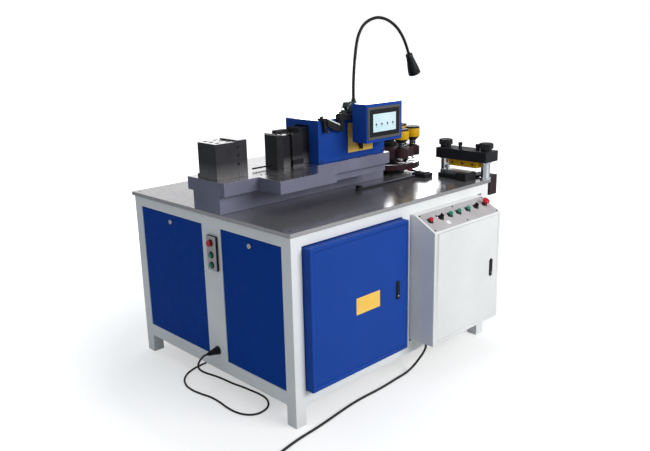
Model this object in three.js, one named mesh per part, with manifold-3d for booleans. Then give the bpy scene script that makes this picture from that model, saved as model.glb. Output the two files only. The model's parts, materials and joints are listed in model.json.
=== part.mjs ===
// A busbar processing machine: a welded floor frame with a steel table, a horizontal bending
// press, a turret punch, a shear, a tool cupboard and an electrical cabinet.
// Millimetres, +Z up. While it is built, x runs right from the frame's left face, y runs back
// from the frame's front face and z rises from the floor. At the end the whole machine is
// moved so that its origin is the middle of its box, on the floor.
import * as THREE from 'three';
import { mergeVertices } from 'three/addons/utils/BufferGeometryUtils.js';
import Module from 'manifold-3d';

const wasm = await Module();
wasm.setup();

// Clearances and sides shared by every sub-part
const seat = 0.3; // gap left where one piece rests on another
const slide = 0.5; // gap round a piece that slides or turns
const overrun = 5; // how far a cut runs past the face that it opens
const roundSides = 16;
const smallSides = 10;

// Driving dimensions
const frame = {
  length: 1480, depth: 1260, height: 900, tube: 63,
  floorGap: 100, bottomRail: 67, topRail: 52,
  sideStile: 148, sideStileThick: 40, sideStileShare: 0.455,
  frontStile: 63, frontStileShare: 0.5166,
};
const table = { thick: 20, overhang: 10 };
const panel = { thick: 14, recess: 4, gap: 1.5 };
const panelLock = { headRadius: 13, headProud: 8, stemRadius: 8, stemLength: 24, drop: 40 };
const station = {
  width: 75, height: 173, thick: 15, drop: 93, forward: 18, stopDrop: 34, firstDrop: 94, secondDrop: 144,
};
const stationCap = { radius: 11, proud: 9, sunk: 8, travel: 4 };
const stationStop = { radius: 15, proud: 15, sunk: 8, stemRadius: 9, travel: 5 };
const socket = { radius: 19, proud: 16, bore: 15, rise: 207 };
const pedalPlug = { radius: 14, length: 44, inside: 12, nutRadius: 16.5, nutLength: 14, reliefRadius: 8.5,
  reliefLength: 17 };
const toolbox = {
  gap: 2.5, proud: 46, inside: 250, wall: 4, doorThick: 20, rim: 22, doorGap: 2, doorTopRim: 20,
  doorBottomRim: 28, lockInset: 62, lockRise: 336,
};
const doorLock = { width: 28, height: 100, thick: 6, stemRadius: 7, stemLength: 16, stemShare: 0.72 };
const cabinet = {
  stileGap: 2.93, length: 580, proud: 151, rise: 179, topDrop: 53, slopeHeight: 71, slopeEnd: 24,
  inside: 110, wall: 4, doorThick: 20, rim: 34, rightRim: 24, bottomRim: 20, topRim: 11, doorGap: 2,
  lockInset: 56, lockRise: 303, footInset: 20, footDepth: 26,
};
const gland = { radius: 15, length: 30, startShare: 0.105, line: -60 };
const control = {
  bezelRadius: 15, bezelHeight: 10, bezelFloor: 2, capRadius: 11.5, capClear: 1.5, capTop: 22, travel: 2.5,
  slopeShare: 0.556,
};
const mushroom = { radius: 20, thick: 16, top: 36, travel: 3.5 };
const knob = { width: 9, top: 27, sides: 4 };

const bed = {
  line: 576, pressOffset: 5, length: 1145, webWidth: 208, webHeight: 91, slabWidth: 291, slabThick: 63,
  wideStart: 202, wideLength: 763, wideWidth: 606, stepStart: 569, stepDepth: 30, stepHeight: 43,
  railStart: 443, railWidth: 12, railHeight: 39,
};
const die = {
  start: 15, length: 128, width: 141, height: 170, footHeight: 20, footReach: 14,
  plateLength: 54, plateHeight: 175, grooveHalf: 46, grooveDepth: 34, grooveShare: 0.5,
  boltHoles: 3, boltHoleRadius: 7, boltHoleDepth: 24, gaugeBore: 7,
};
const dieBoltShares = [0.3, 0.72];
const ram = {
  start: 383, width: 142, noseLength: 40, noseWidth: 92, noseHeight: 167, stroke: 165,
  firstEnd: 80, grooveEnd: 101, secondEnd: 173, guideEnd: 397, guideWidth: 96,
  height: 166, grooveInset: 12, grooveDrop: 14, guideHeight: 186, footHeight: 36, footStep: 4,
  stripStart: 84, stripEnd: 165, stripInset: 8, stripWidth: 34, stripTop: 176,
  rodRadius: 42, rodLength: 300, rodRise: 100, gaugeRadius: 4.5, gaugeReach: 104, gaugeRise: 12,
};
const housing = {
  start: 615, length: 510, width: 247, height: 222, wall: 6, portWidth: 100, portTop: 192,
};
const cylinder = { radius: 74, start: 180, endGap: 14, footWidth: 150 };
const screen = {
  start: 803, length: 281, depth: 100, rise: 249, height: 200, clear: 50, rimWidth: 19, rimDepth: 6,
  rimTop: 21, rimBottom: 14, bracketLength: 150, bracketThick: 12, bracketHeight: 90, bracketShare: 0.35,
};
const lamp = {
  start: 944, line: 520, reach: 470, rise: 426, baseLength: 88, baseWidth: 48, baseHeight: 75, baseEdge: 6,
  neckRadius: 8.5, ballRadius: 15, headLength: 118, headRadius: 36, headNeckRadius: 20,
  headNeckLength: 9, headWall: 4,
  neckSteps: 44, neckSides: 8,
};
const turret = {
  fromEnd: 155, line: 597, pitch: 140, discRadius: 152, lobeRadius: 43, collarRadius: 56, stations: 6,
  pedestalRadius: 92, pedestalHeight: 28, lowerThick: 36, discGap: 32, upperThick: 52,
  shaftRadius: 34, shaftCap: 40, capRadius: 48, capHeight: 24, firstAngle: -48, sides: 48,
};
const punch = {
  sleeveRadius: 43, sleeveHeight: 50, sleeveRise: 55, capRadius: 42, capHeight: 10, neckRadius: 21,
  bodyRadius: 24, tipRadius: 9, tipDrop: 18, shankDrop: 12, travel: 30, dieRadius: 10,
};
const shear = {
  fromEnd: 148, length: 136, frontLength: 100, frontLine: 50, depth: 199, height: 43, blockDepth: 70,
  rearStart: 18, rearHeight: 25,
  pocketStart: 30, pocketLength: 60, pocketLine: 6, pocketDepth: 188, bladeHeight: 46, pocketFloor: 6,
  sideGap: 8, sideLength: 70, sideDepth: 120, sideDrop: 97, sideTop: 14, linkInset: 16,
};
const column = {
  radius: 25, inset: 134, firstLine: 13, spacing: 271, nutAcross: 68, nutHeight: 43, neckRadius: 30,
  nutSides: 6, neckHeight: 12, footRadius: 31, footHeight: 10,
};
const beam = {
  width: 119, rise: 99, thick: 58, frontReach: 40, rearReach: 26, boltRadius: 12, boltHeight: 33, boltNeck: 6,
};
const beamBoltShares = [0.205, 0.63];
const holder = { width: 52, height: 38, length: 190, lineShare: 0.46 };
const fence = {
  start: 784, length: 546, line: 352, width: 20, height: 11, stopSize: 24, stopGap: 4, stopStart: 6,
  clampLength: 68, clampReach: 90, clampHeight: 24,
};
const pack = {
  fromEnd: 660, length: 470, line: 420, depth: 560, skidThick: 6, skidInset: 30, tankHeight: 320,
  motorRadius: 95, motorHeight: 210, motorShare: 0.32, pumpRadius: 60, pumpHeight: 90, pumpShare: 0.72,
};
const pedal = {
  start: 330, line: 790, length: 190, width: 120, baseHeight: 16, sideWall: 8, sideHeight: 34,
  treadleThick: 8, treadleRise: 18, hingeRadius: 5, boreClearance: 0.6, inset: 4,
};
const pedalCord = { radius: 5, sides: 8, steps: 80 };
const mainsCord = { radius: 6, sides: 8, steps: 64 };
const mainsCoil = { turnsEachWay: 3, crossingTurns: 0.5, meanRadius: 66, sides: 6, loopSteps: 24, pitchSlack: 1.8 };

// Heights and lines that several sub-parts share
const tableTop = frame.height + table.thick;
const slabTop = tableTop + bed.webHeight + bed.slabThick;
const bedStart = -table.overhang;
const pressLine = bed.line - bed.pressOffset;
const railTop = frame.floorGap + frame.bottomRail;
const bayTop = frame.height - frame.topRail;
const sideStileLine = frame.depth * frame.sideStileShare;
const stationLine = sideStileLine - station.forward;
const frontStileLine = frame.length * frame.frontStileShare;
const cabinetStart = frontStileLine + frame.frontStile / 2 + cabinet.stileGap;
const turretStart = frame.length - turret.fromEnd;
const shearStart = frame.length - shear.fromEnd;
const shearSideStart = frame.length + table.overhang + shear.sideGap;
const columnStart = shearStart + column.inset;
const packStart = frame.length - pack.fromEnd;

// Colours and finishes
const finish = (color, roughness, metalness) => new THREE.MeshStandardMaterial({ color, roughness, metalness });
const whitePaint = finish(0xededef, 0.45, 0.1);
const navyPaint = finish(0x0a2f7a, 0.4, 0.1);
const bluePaint = finish(0x1e4a9c, 0.4, 0.1);
const steel = finish(0x83808e, 0.35, 0.9);
const blackOxide = finish(0x1e1e21, 0.45, 0.7);
const brightSteel = finish(0xc9ccd0, 0.2, 1);
const blackPlastic = finish(0x18181a, 0.5, 0);
const redPlastic = finish(0xbe1e28, 0.35, 0);
const greenPlastic = finish(0x28907a, 0.35, 0);
const yellowPaint = finish(0xe6b428, 0.4, 0.1);
const brownOxide = finish(0x41302f, 0.5, 0.5);
const greyPaint = finish(0xa9b2b6, 0.5, 0.1);
const cordRubber = finish(0x101012, 0.7, 0);

const machine = new THREE.Group();
const meshes = {};

// Every named sub-part goes through here.
function add(name, shape, material, group = machine) {
  const geometry = shape.isBufferGeometry ? shape : geometryOf(shape);
  const mesh = new THREE.Mesh(geometry, material);
  mesh.name = name;
  meshes[name] = mesh;
  group.add(mesh);
}

// Solids that are cut and joined
function solid(geometry) {
  const bare = geometry.clone();
  bare.deleteAttribute('normal');
  bare.deleteAttribute('uv');
  const merged = mergeVertices(bare);
  return new wasm.Manifold(new wasm.Mesh({
    numProp: 3,
    vertProperties: new Float32Array(merged.attributes.position.array),
    triVerts: new Uint32Array(merged.index.array),
  }));
}

function geometryOf(manifold) {
  const mesh = manifold.getMesh();
  const geometry = new THREE.BufferGeometry();
  geometry.setAttribute('position', new THREE.BufferAttribute(mesh.vertProperties, 3));
  geometry.setIndex(new THREE.BufferAttribute(mesh.triVerts, 1));
  geometry.computeVertexNormals();
  return geometry;
}

function joined(...solids) {
  return solids.reduce((all, next) => all.add(next));
}

function cut(body, ...tools) {
  return tools.reduce((left, tool) => left.subtract(tool), body);
}

function block([x0, x1], [y0, y1], [z0, z1]) {
  const geometry = new THREE.BoxGeometry(x1 - x0, y1 - y0, z1 - z0);
  geometry.translate((x0 + x1) / 2, (y0 + y1) / 2, (z0 + z1) / 2);
  return solid(geometry);
}

// A round bar between two points
function bar(from, to, radius, sides = roundSides, endRadius = radius) {
  const start = new THREE.Vector3(...from);
  const end = new THREE.Vector3(...to);
  const geometry = new THREE.CylinderGeometry(endRadius, radius, start.distanceTo(end), sides);
  const turn = new THREE.Quaternion().setFromUnitVectors(
    new THREE.Vector3(0, 1, 0), end.clone().sub(start).normalize());
  geometry.applyQuaternion(turn);
  geometry.translate((start.x + end.x) / 2, (start.y + end.y) / 2, (start.z + end.z) / 2);
  return solid(geometry);
}

function outline(points) {
  return new THREE.Shape(points.map(([u, v]) => new THREE.Vector2(u, v)));
}

// An outline seen from above, raised from one height to another
function plate(points, [z0, z1]) {
  const geometry = new THREE.ExtrudeGeometry(outline(points), { depth: z1 - z0, bevelEnabled: false });
  geometry.translate(0, 0, z0);
  return solid(geometry);
}

// An outline of y and z, run along x
function sideProfile(points, [x0, x1]) {
  const geometry = new THREE.ExtrudeGeometry(outline(points), { depth: x1 - x0, bevelEnabled: false });
  geometry.rotateY(Math.PI / 2);
  geometry.rotateX(Math.PI / 2);
  geometry.translate(x0, 0, 0);
  return solid(geometry);
}

// The welded frame: four legs, two rings of rails, a wide stile in each side and one in front
function makeFrame() {
  const { length, depth, tube } = frame;
  const bottom = [frame.floorGap, railTop];
  const top = [bayTop, frame.height];
  const ends = [[0, tube], [length - tube, length]];
  const rows = [[0, tube], [depth - tube, depth]];
  const pieces = [];
  for (const xs of ends) {
    for (const ys of rows) pieces.push(block(xs, ys, [0, frame.height]));
    for (const zs of [bottom, top]) pieces.push(block(xs, [0, depth], zs));
  }
  for (const ys of rows) {
    for (const zs of [bottom, top]) pieces.push(block([0, length], ys, zs));
  }
  const stileRow = [sideStileLine - frame.sideStile / 2, sideStileLine + frame.sideStile / 2];
  pieces.push(block([0, frame.sideStileThick], stileRow, [frame.floorGap, frame.height]));
  pieces.push(block([frontStileLine - frame.frontStile / 2, frontStileLine + frame.frontStile / 2],
    [0, tube], [frame.floorGap, frame.height]));
  return joined(...pieces);
}
add('frame', makeFrame(), whitePaint);

// Sheet panels that close the sides and the back, each stood on its bottom rail
const sideStart = panel.recess;
const bayRows = [railTop + seat, bayTop - panel.gap];
const stileEdges = [sideStileLine - frame.sideStile / 2, sideStileLine + frame.sideStile / 2];
const sideBays = {
  left_panel_rear: [stileEdges[1] + panel.gap, frame.depth - frame.tube - panel.gap],
  left_panel_front: [frame.tube + panel.gap, stileEdges[0] - panel.gap],
};
const lockHeight = bayTop - panelLock.drop;
for (const [name, row] of Object.entries(sideBays)) {
  const line = (row[0] + row[1]) / 2;
  const hole = bar([-overrun, line, lockHeight], [sideStart + panel.thick + overrun, line, lockHeight],
    panelLock.stemRadius + slide);
  add(name, cut(block([sideStart, sideStart + panel.thick], row, bayRows), hole), navyPaint);
  const headBack = sideStart - seat;
  const lock = joined(
    bar([headBack, line, lockHeight], [headBack - panelLock.headProud, line, lockHeight], panelLock.headRadius),
    bar([headBack - panelLock.headProud / 2, line, lockHeight], [headBack + panelLock.stemLength, line, lockHeight],
      panelLock.stemRadius));
  add(name.replace('left_panel', 'panel_lock'), lock, brightSteel);
}
const fullRow = [frame.tube + panel.gap, frame.depth - frame.tube - panel.gap];
const rightFace = frame.length - panel.recess;
add('right_panel', block([rightFace - panel.thick, rightFace], fullRow, bayRows), navyPaint);
const backFace = frame.depth - panel.recess;
add('back_panel', block([frame.tube + panel.gap, frame.length - frame.tube - panel.gap],
  [backFace - panel.thick, backFace], bayRows), navyPaint);

// The table, drilled for nothing but its corner screws, which are flush
add('tabletop', block([-table.overhang, frame.length + table.overhang],
  [-table.overhang, frame.depth + table.overhang], [frame.height + seat, tableTop]), steel);

// The three-button station and the foot switch's connector on the left stile
function pressCap(line, height, cap) {
  const face = -station.thick - seat;
  const stem = cap.stemRadius ?? cap.radius;
  return joined(
    bar([face - cap.travel, line, height], [face - cap.travel - cap.proud, line, height], cap.radius),
    bar([face + cap.sunk, line, height], [face - cap.travel - cap.proud / 2, line, height], stem));
}
function makeStation() {
  const top = frame.height - station.drop;
  const body = block([-station.thick - seat, -seat],
    [stationLine - station.width / 2, stationLine + station.width / 2], [top - station.height, top]);
  const places = [
    ['station_stop', station.stopDrop, stationStop, redPlastic],
    ['station_start_upper', station.firstDrop, stationCap, greenPlastic],
    ['station_start_lower', station.secondDrop, stationCap, greenPlastic],
  ];
  const bores = places.map(([name, drop, cap, material]) => {
    add(name, pressCap(stationLine, top - drop, cap), material);
    const boreEnd = cap.sunk + cap.travel + slide;
    return bar([-station.thick - overrun, stationLine, top - drop],
      [-station.thick - seat + boreEnd, stationLine, top - drop], (cap.stemRadius ?? cap.radius) + slide);
  });
  add('button_station', cut(body, ...bores), greyPaint);
}
makeStation();

const socketEnd = -seat - socket.proud;
add('pedal_socket', cut(
  bar([-seat, sideStileLine, socket.rise], [socketEnd, sideStileLine, socket.rise], socket.radius),
  bar([socketEnd - overrun, sideStileLine, socket.rise],
    [socketEnd + pedalPlug.inside + seat, sideStileLine, socket.rise], socket.bore)), blackPlastic);
const plugStart = socketEnd + pedalPlug.inside;
const plugEnd = plugStart - pedalPlug.length;
const reliefEnd = plugEnd - pedalPlug.reliefLength;
add('pedal_plug', joined(
  bar([plugStart, sideStileLine, socket.rise], [plugEnd, sideStileLine, socket.rise], pedalPlug.radius),
  bar([socketEnd - seat, sideStileLine, socket.rise],
    [socketEnd - seat - pedalPlug.nutLength, sideStileLine, socket.rise], pedalPlug.nutRadius),
  bar([plugEnd + overrun, sideStileLine, socket.rise], [reliefEnd, sideStileLine, socket.rise],
    pedalPlug.radius - overrun / 2, roundSides, pedalPlug.reliefRadius)), blackPlastic);

// A slotted lock plate on a door's face, turned on its own stem
function lockPlate(x, face, z) {
  const stemHeight = z + doorLock.height * (doorLock.stemShare - 0.5);
  return joined(
    block([x - doorLock.width / 2, x + doorLock.width / 2], [face - seat - doorLock.thick, face - seat],
      [z - doorLock.height / 2, z + doorLock.height / 2]),
    bar([x, face - doorLock.thick / 2, stemHeight], [x, face + doorLock.stemLength, stemHeight],
      doorLock.stemRadius));
}
function lockHole(x, face, z) {
  const stemHeight = z + doorLock.height * (doorLock.stemShare - 0.5);
  return bar([x, face - overrun, stemHeight], [x, face + toolbox.doorThick + overrun, stemHeight],
    doorLock.stemRadius + slide);
}

// The tool cupboard in the front bay, with its inset door hung on the left edge
function makeToolbox() {
  const xs = [frame.tube + toolbox.gap, frontStileLine - frame.frontStile / 2 - toolbox.gap];
  const ys = [-toolbox.proud, toolbox.inside];
  const zs = [railTop + seat, bayTop - toolbox.gap * 2];
  const door = {
    xs: [xs[0] + toolbox.rim, xs[1] - toolbox.rim],
    zs: [zs[0] + toolbox.doorBottomRim, zs[1] - toolbox.doorTopRim],
  };
  const back = -toolbox.proud + toolbox.doorThick;
  const doorway = block([door.xs[0] - seat, door.xs[1] + toolbox.doorGap],
    [-toolbox.proud - overrun, back + toolbox.doorGap * 2 + overrun],
    [door.zs[0] - toolbox.doorGap, door.zs[1] + toolbox.doorGap]);
  const cavity = block([xs[0] + toolbox.wall, xs[1] - toolbox.wall],
    [back + toolbox.doorGap * 2, ys[1] - toolbox.wall], [zs[0] + toolbox.wall, zs[1] - toolbox.wall]);
  add('toolbox_body', cut(block(xs, ys, zs), doorway, cavity), bluePaint);
  const lockX = door.xs[1] - toolbox.lockInset;
  const lockZ = zs[0] + toolbox.lockRise;
  add('toolbox_door', cut(block(door.xs, [-toolbox.proud, back], door.zs),
    lockHole(lockX, -toolbox.proud, lockZ)), bluePaint);
  add('toolbox_lock', lockPlate(lockX, -toolbox.proud, lockZ), blackPlastic);
}
makeToolbox();

// The electrical cabinet: a welded case with a sloped control face above its door
const slope = {
  front: -cabinet.proud, back: -cabinet.slopeEnd,
  low: frame.height - cabinet.topDrop - cabinet.slopeHeight, high: frame.height - cabinet.topDrop,
};
slope.length = Math.hypot(slope.back - slope.front, slope.high - slope.low);
slope.along = new THREE.Vector3(0, slope.back - slope.front, slope.high - slope.low).normalize();
slope.normal = new THREE.Vector3(1, 0, 0).cross(slope.along);
function onSlope(x, share, height) {
  return new THREE.Vector3(x, slope.front, slope.low)
    .addScaledVector(slope.along, slope.length * share)
    .addScaledVector(slope.normal, height)
    .toArray();
}
const controlShares = {
  stop_button: 0.085, mains_switch: 0.236, green_button_1: 0.366, green_button_2: 0.493,
  green_button_3: 0.632, selector_knob: 0.762, emergency_stop: 0.9,
};
const controlX = (name) => cabinetStart + cabinet.length * controlShares[name];
const controlBar = (name, from, to, radius, sides = roundSides) =>
  bar(onSlope(controlX(name), control.slopeShare, from), onSlope(controlX(name), control.slopeShare, to),
    radius, sides);

const glandX = cabinetStart + cabinet.length * gland.startShare;
const glandEnd = cabinet.rise - gland.length;

function makeCabinet() {
  const xs = [cabinetStart, cabinetStart + cabinet.length];
  const steep = cabinet.wall / slope.normal.z;
  const back = -cabinet.proud + cabinet.doorThick;
  const cavityFront = back + cabinet.doorGap * 2;
  const outer = [
    [slope.front, cabinet.rise], [slope.front, slope.low], [slope.back, slope.high],
    [cabinet.inside, slope.high], [cabinet.inside, cabinet.rise],
  ];
  const rise = (slope.high - slope.low) / (slope.back - slope.front);
  const inner = [
    [cavityFront, cabinet.rise + cabinet.wall],
    [cavityFront, slope.low + (cavityFront - slope.front) * rise - steep],
    [slope.back, slope.high - steep],
    [cabinet.inside - cabinet.wall, slope.high - steep],
    [cabinet.inside - cabinet.wall, cabinet.rise + cabinet.wall],
  ];
  const door = {
    xs: [xs[0] + cabinet.rim, xs[1] - cabinet.rightRim],
    zs: [cabinet.rise + cabinet.bottomRim, slope.low - cabinet.topRim],
  };
  const doorway = block([door.xs[0] - seat, door.xs[1] + cabinet.doorGap],
    [-cabinet.proud - overrun, cavityFront + overrun],
    [door.zs[0] - cabinet.doorGap, door.zs[1] + cabinet.doorGap]);
  const foot = block([xs[0] + cabinet.footInset, xs[1] - cabinet.footInset], [seat, cabinet.footDepth],
    [railTop + seat, cabinet.rise + cabinet.wall / 2]);
  const cordGland = bar([glandX, gland.line, cabinet.rise + cabinet.wall / 2],
    [glandX, gland.line, glandEnd], gland.radius, roundSides, gland.radius / 2);
  let body = cut(sideProfile(outer, xs), doorway,
    sideProfile(inner, [xs[0] + cabinet.wall, xs[1] - cabinet.wall]));
  body = joined(body, foot, cordGland);
  for (const name of Object.keys(controlShares)) {
    body = joined(body, controlBar(name, -cabinet.wall / 2, control.bezelHeight, control.bezelRadius));
  }
  for (const name of Object.keys(controlShares)) {
    body = cut(body, controlBar(name, control.bezelFloor, control.bezelHeight + overrun,
      control.capRadius + slide));
  }
  add('cabinet_body', body, whitePaint);
  const lockX = door.xs[1] - cabinet.lockInset;
  const lockZ = cabinet.rise + cabinet.lockRise;
  add('cabinet_door', cut(block(door.xs, [-cabinet.proud, back], door.zs),
    lockHole(lockX, -cabinet.proud, lockZ)), whitePaint);
  add('cabinet_lock', lockPlate(lockX, -cabinet.proud, lockZ), blackPlastic);
}
makeCabinet();

// Controls on the slope: push caps, two turning knobs and a mushroom stop
const capStart = control.bezelFloor + control.travel + control.capClear;
const stemStart = control.bezelFloor + mushroom.travel + control.capClear;
const pushCaps = [
  ['stop_button', redPlastic], ['green_button_1', greenPlastic],
  ['green_button_2', greenPlastic], ['green_button_3', greenPlastic],
];
for (const [name, material] of pushCaps) {
  add(name, controlBar(name, capStart, control.capTop, control.capRadius), material);
}
for (const name of ['mains_switch', 'selector_knob']) {
  const grip = bar(onSlope(controlX(name), control.slopeShare, control.capTop - overrun),
    onSlope(controlX(name), control.slopeShare, knob.top), knob.width, knob.sides);
  add(name, joined(controlBar(name, capStart, control.capTop, control.capRadius), grip), blackPlastic);
}
add('emergency_stop', joined(
  controlBar('emergency_stop', stemStart, mushroom.top - mushroom.thick / 2, control.capRadius),
  controlBar('emergency_stop', mushroom.top - mushroom.thick, mushroom.top, mushroom.radius)), redPlastic);

// The press bed: a web on the table, a slab on the web, a wider slab with a rail on its front edge
function makeBed() {
  const webTop = tableTop + bed.webHeight;
  const rows = (width) => [bed.line - width / 2, bed.line + width / 2];
  const along = (start, length) => [bedStart + start, bedStart + start + length];
  const wide = along(bed.wideStart, bed.wideLength);
  const edges = rows(bed.wideWidth);
  let body = joined(
    block(along(0, bed.length), rows(bed.webWidth), [tableTop + seat, webTop + overrun]),
    block(along(0, bed.length), rows(bed.slabWidth), [webTop, slabTop]),
    block(wide, edges, [webTop, slabTop]),
    block([bedStart + bed.railStart, wide[1]], [edges[0], edges[0] + bed.railWidth],
      [slabTop - overrun, slabTop + bed.railHeight]));
  const stepXs = [bedStart + bed.stepStart, wide[1] + overrun];
  body = cut(body,
    block(stepXs, [edges[0] - overrun, edges[0] + bed.stepDepth], [webTop - overrun, webTop + bed.stepHeight]),
    block(stepXs, [edges[1] - bed.stepDepth, edges[1] + overrun], [webTop - overrun, webTop + bed.stepHeight]));
  return body;
}
add('bed', makeBed(), steel);

// The bending die: a block on the slab's end and a grooved plate bolted to it
const dieStart = bedStart + die.start;
const dieEnd = dieStart + die.length;
const dieRow = [pressLine - die.width / 2, pressLine + die.width / 2];
const gaugeHeight = slabTop + ram.gaugeRise;
function makeDieBlock() {
  const top = slabTop + die.height;
  const body = joined(
    block([dieStart, dieEnd], dieRow, [slabTop + seat, top]),
    block([dieStart, dieEnd], [dieRow[0], dieRow[1] + die.footReach],
      [slabTop + seat, slabTop + die.footHeight]));
  const holes = [];
  for (let row = 0; row < die.boltHoles; row += 1) {
    const y = dieRow[0] + die.width * (row + 0.5) / die.boltHoles;
    for (const share of dieBoltShares) {
      const x = dieStart + die.length * share;
      holes.push(bar([x, y, top + overrun], [x, y, top - die.boltHoleDepth], die.boltHoleRadius, smallSides));
    }
  }
  const gaugeEnd = bedStart + ram.start - ram.gaugeReach - ram.stroke - overrun;
  holes.push(bar([gaugeEnd, pressLine, gaugeHeight], [dieEnd + overrun, pressLine, gaugeHeight],
    die.gaugeBore, smallSides));
  return cut(body, ...holes);
}
add('die_block', makeDieBlock(), blackOxide);

function makeDiePlate() {
  const start = dieEnd + seat;
  const end = start + die.plateLength;
  const middle = dieRow[0] + die.width * die.grooveShare;
  const body = plate([
    [start, dieRow[0]], [end, dieRow[0]], [end, middle - die.grooveHalf], [end - die.grooveDepth, middle],
    [end, middle + die.grooveHalf], [end, dieRow[1]], [start, dieRow[1]],
  ], [slabTop + seat, slabTop + die.plateHeight]);
  const gauge = bar([start - overrun, pressLine, gaugeHeight], [end + overrun, pressLine, gaugeHeight],
    die.gaugeBore, smallSides);
  return cut(body, gauge);
}
add('die_plate', makeDiePlate(), blackOxide);

// The ram: a nose with one slanted flank on a stepped head, driven by a rod from inside the cover
const ramStart = bedStart + ram.start;
const ramRow = [dieRow[0], dieRow[0] + ram.width];
const ramFloor = slabTop + slide;
const rodHeight = slabTop + ram.rodRise;
function makeNose() {
  const end = ramStart + ram.noseLength;
  const gauge = bar([ramStart + ram.noseLength / 2, pressLine, gaugeHeight],
    [ramStart - ram.gaugeReach, pressLine, gaugeHeight], ram.gaugeRadius, smallSides);
  return joined(plate([
    [ramStart, ramRow[0]], [end, ramRow[0]], [end, ramRow[1]], [ramStart, ramRow[0] + ram.noseWidth],
  ], [ramFloor, slabTop + ram.noseHeight]), gauge);
}
add('punch_nose', makeNose(), blackOxide);

function makeRamHead() {
  const inset = [ramRow[0] + ram.grooveInset, ramRow[1] - ram.grooveInset];
  const ends = [ram.noseLength + seat, ram.firstEnd, ram.grooveEnd, ram.secondEnd, ram.guideEnd]
    .map((place) => ramStart + place);
  const foot = [ramRow[0] - ram.footStep, ramRow[1] + ram.footStep];
  const guide = [pressLine - ram.guideWidth / 2, pressLine + ram.guideWidth / 2];
  const stripEdge = ramRow[1] - ram.stripInset;
  return joined(
    block([ends[0], ends[1]], ramRow, [ramFloor, slabTop + ram.height]),
    block([ends[1] - overrun, ends[2] + overrun], inset, [ramFloor, slabTop + ram.height - ram.grooveDrop]),
    block([ends[2], ends[3]], ramRow, [ramFloor, slabTop + ram.height]),
    block([ends[2], ends[3]], foot, [ramFloor, slabTop + ram.footHeight]),
    block([ends[3] - overrun, ends[4]], guide, [ramFloor, slabTop + ram.guideHeight]),
    block([ramStart + ram.stripStart, ramStart + ram.stripEnd], [stripEdge - ram.stripWidth, stripEdge],
      [slabTop + ram.height - ram.grooveDrop - overrun, slabTop + ram.stripTop]),
    bar([ends[4] - overrun, pressLine, rodHeight], [ends[4] + ram.rodLength, pressLine, rodHeight],
      ram.rodRadius));
}
add('ram_head', makeRamHead(), blackOxide);

// The blue cover over the bending cylinder, and the cylinder in it
const coverXs = [bedStart + housing.start, bedStart + housing.start + housing.length];
const coverRow = [pressLine - housing.width / 2, pressLine + housing.width / 2];
add('ram_housing', cut(
  block(coverXs, coverRow, [slabTop + seat, slabTop + housing.height]),
  block([coverXs[0] + housing.wall, coverXs[1] - housing.wall],
    [coverRow[0] + housing.wall, coverRow[1] - housing.wall],
    [slabTop - overrun, slabTop + housing.height - housing.wall]),
  block([coverXs[0] - overrun, coverXs[0] + housing.wall + overrun],
    [pressLine - housing.portWidth / 2, pressLine + housing.portWidth / 2],
    [slabTop - overrun, slabTop + housing.portTop])), bluePaint);

function makeCylinder() {
  const xs = [coverXs[0] + cylinder.start, coverXs[1] - housing.wall - cylinder.endGap];
  const body = joined(
    bar([xs[0], pressLine, rodHeight], [xs[1], pressLine, rodHeight], cylinder.radius),
    block(xs, [pressLine - cylinder.footWidth / 2, pressLine + cylinder.footWidth / 2],
      [slabTop + seat, rodHeight - ram.rodRadius - overrun]));
  return cut(body, bar([xs[0] - overrun, pressLine, rodHeight],
    [ramStart + ram.guideEnd + ram.rodLength + overrun, pressLine, rodHeight], ram.rodRadius + slide));
}
add('bend_cylinder', makeCylinder(), greyPaint);

// The operator's screen: a case with a proud rim, on a bracket from the cover's front
function makeScreen() {
  const xs = [screen.start, screen.start + screen.length];
  const back = coverRow[0] - screen.clear;
  const ys = [back - screen.depth, back];
  const zs = [tableTop + screen.rise, tableTop + screen.rise + screen.height];
  const pane = block([xs[0] + screen.rimWidth, xs[1] - screen.rimWidth],
    [ys[0] - overrun, ys[0] + screen.rimDepth], [zs[0] + screen.rimBottom, zs[1] - screen.rimTop]);
  const arm = xs[0] + screen.length * screen.bracketShare;
  const bracketZ = slabTop + housing.height - screen.bracketHeight - screen.bracketThick;
  return joined(cut(block(xs, ys, zs), pane),
    block([arm, arm + screen.bracketLength], [back - overrun, coverRow[0] - seat],
      [bracketZ, bracketZ + screen.bracketHeight]));
}
add('hmi_box', makeScreen(), bluePaint);

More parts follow.
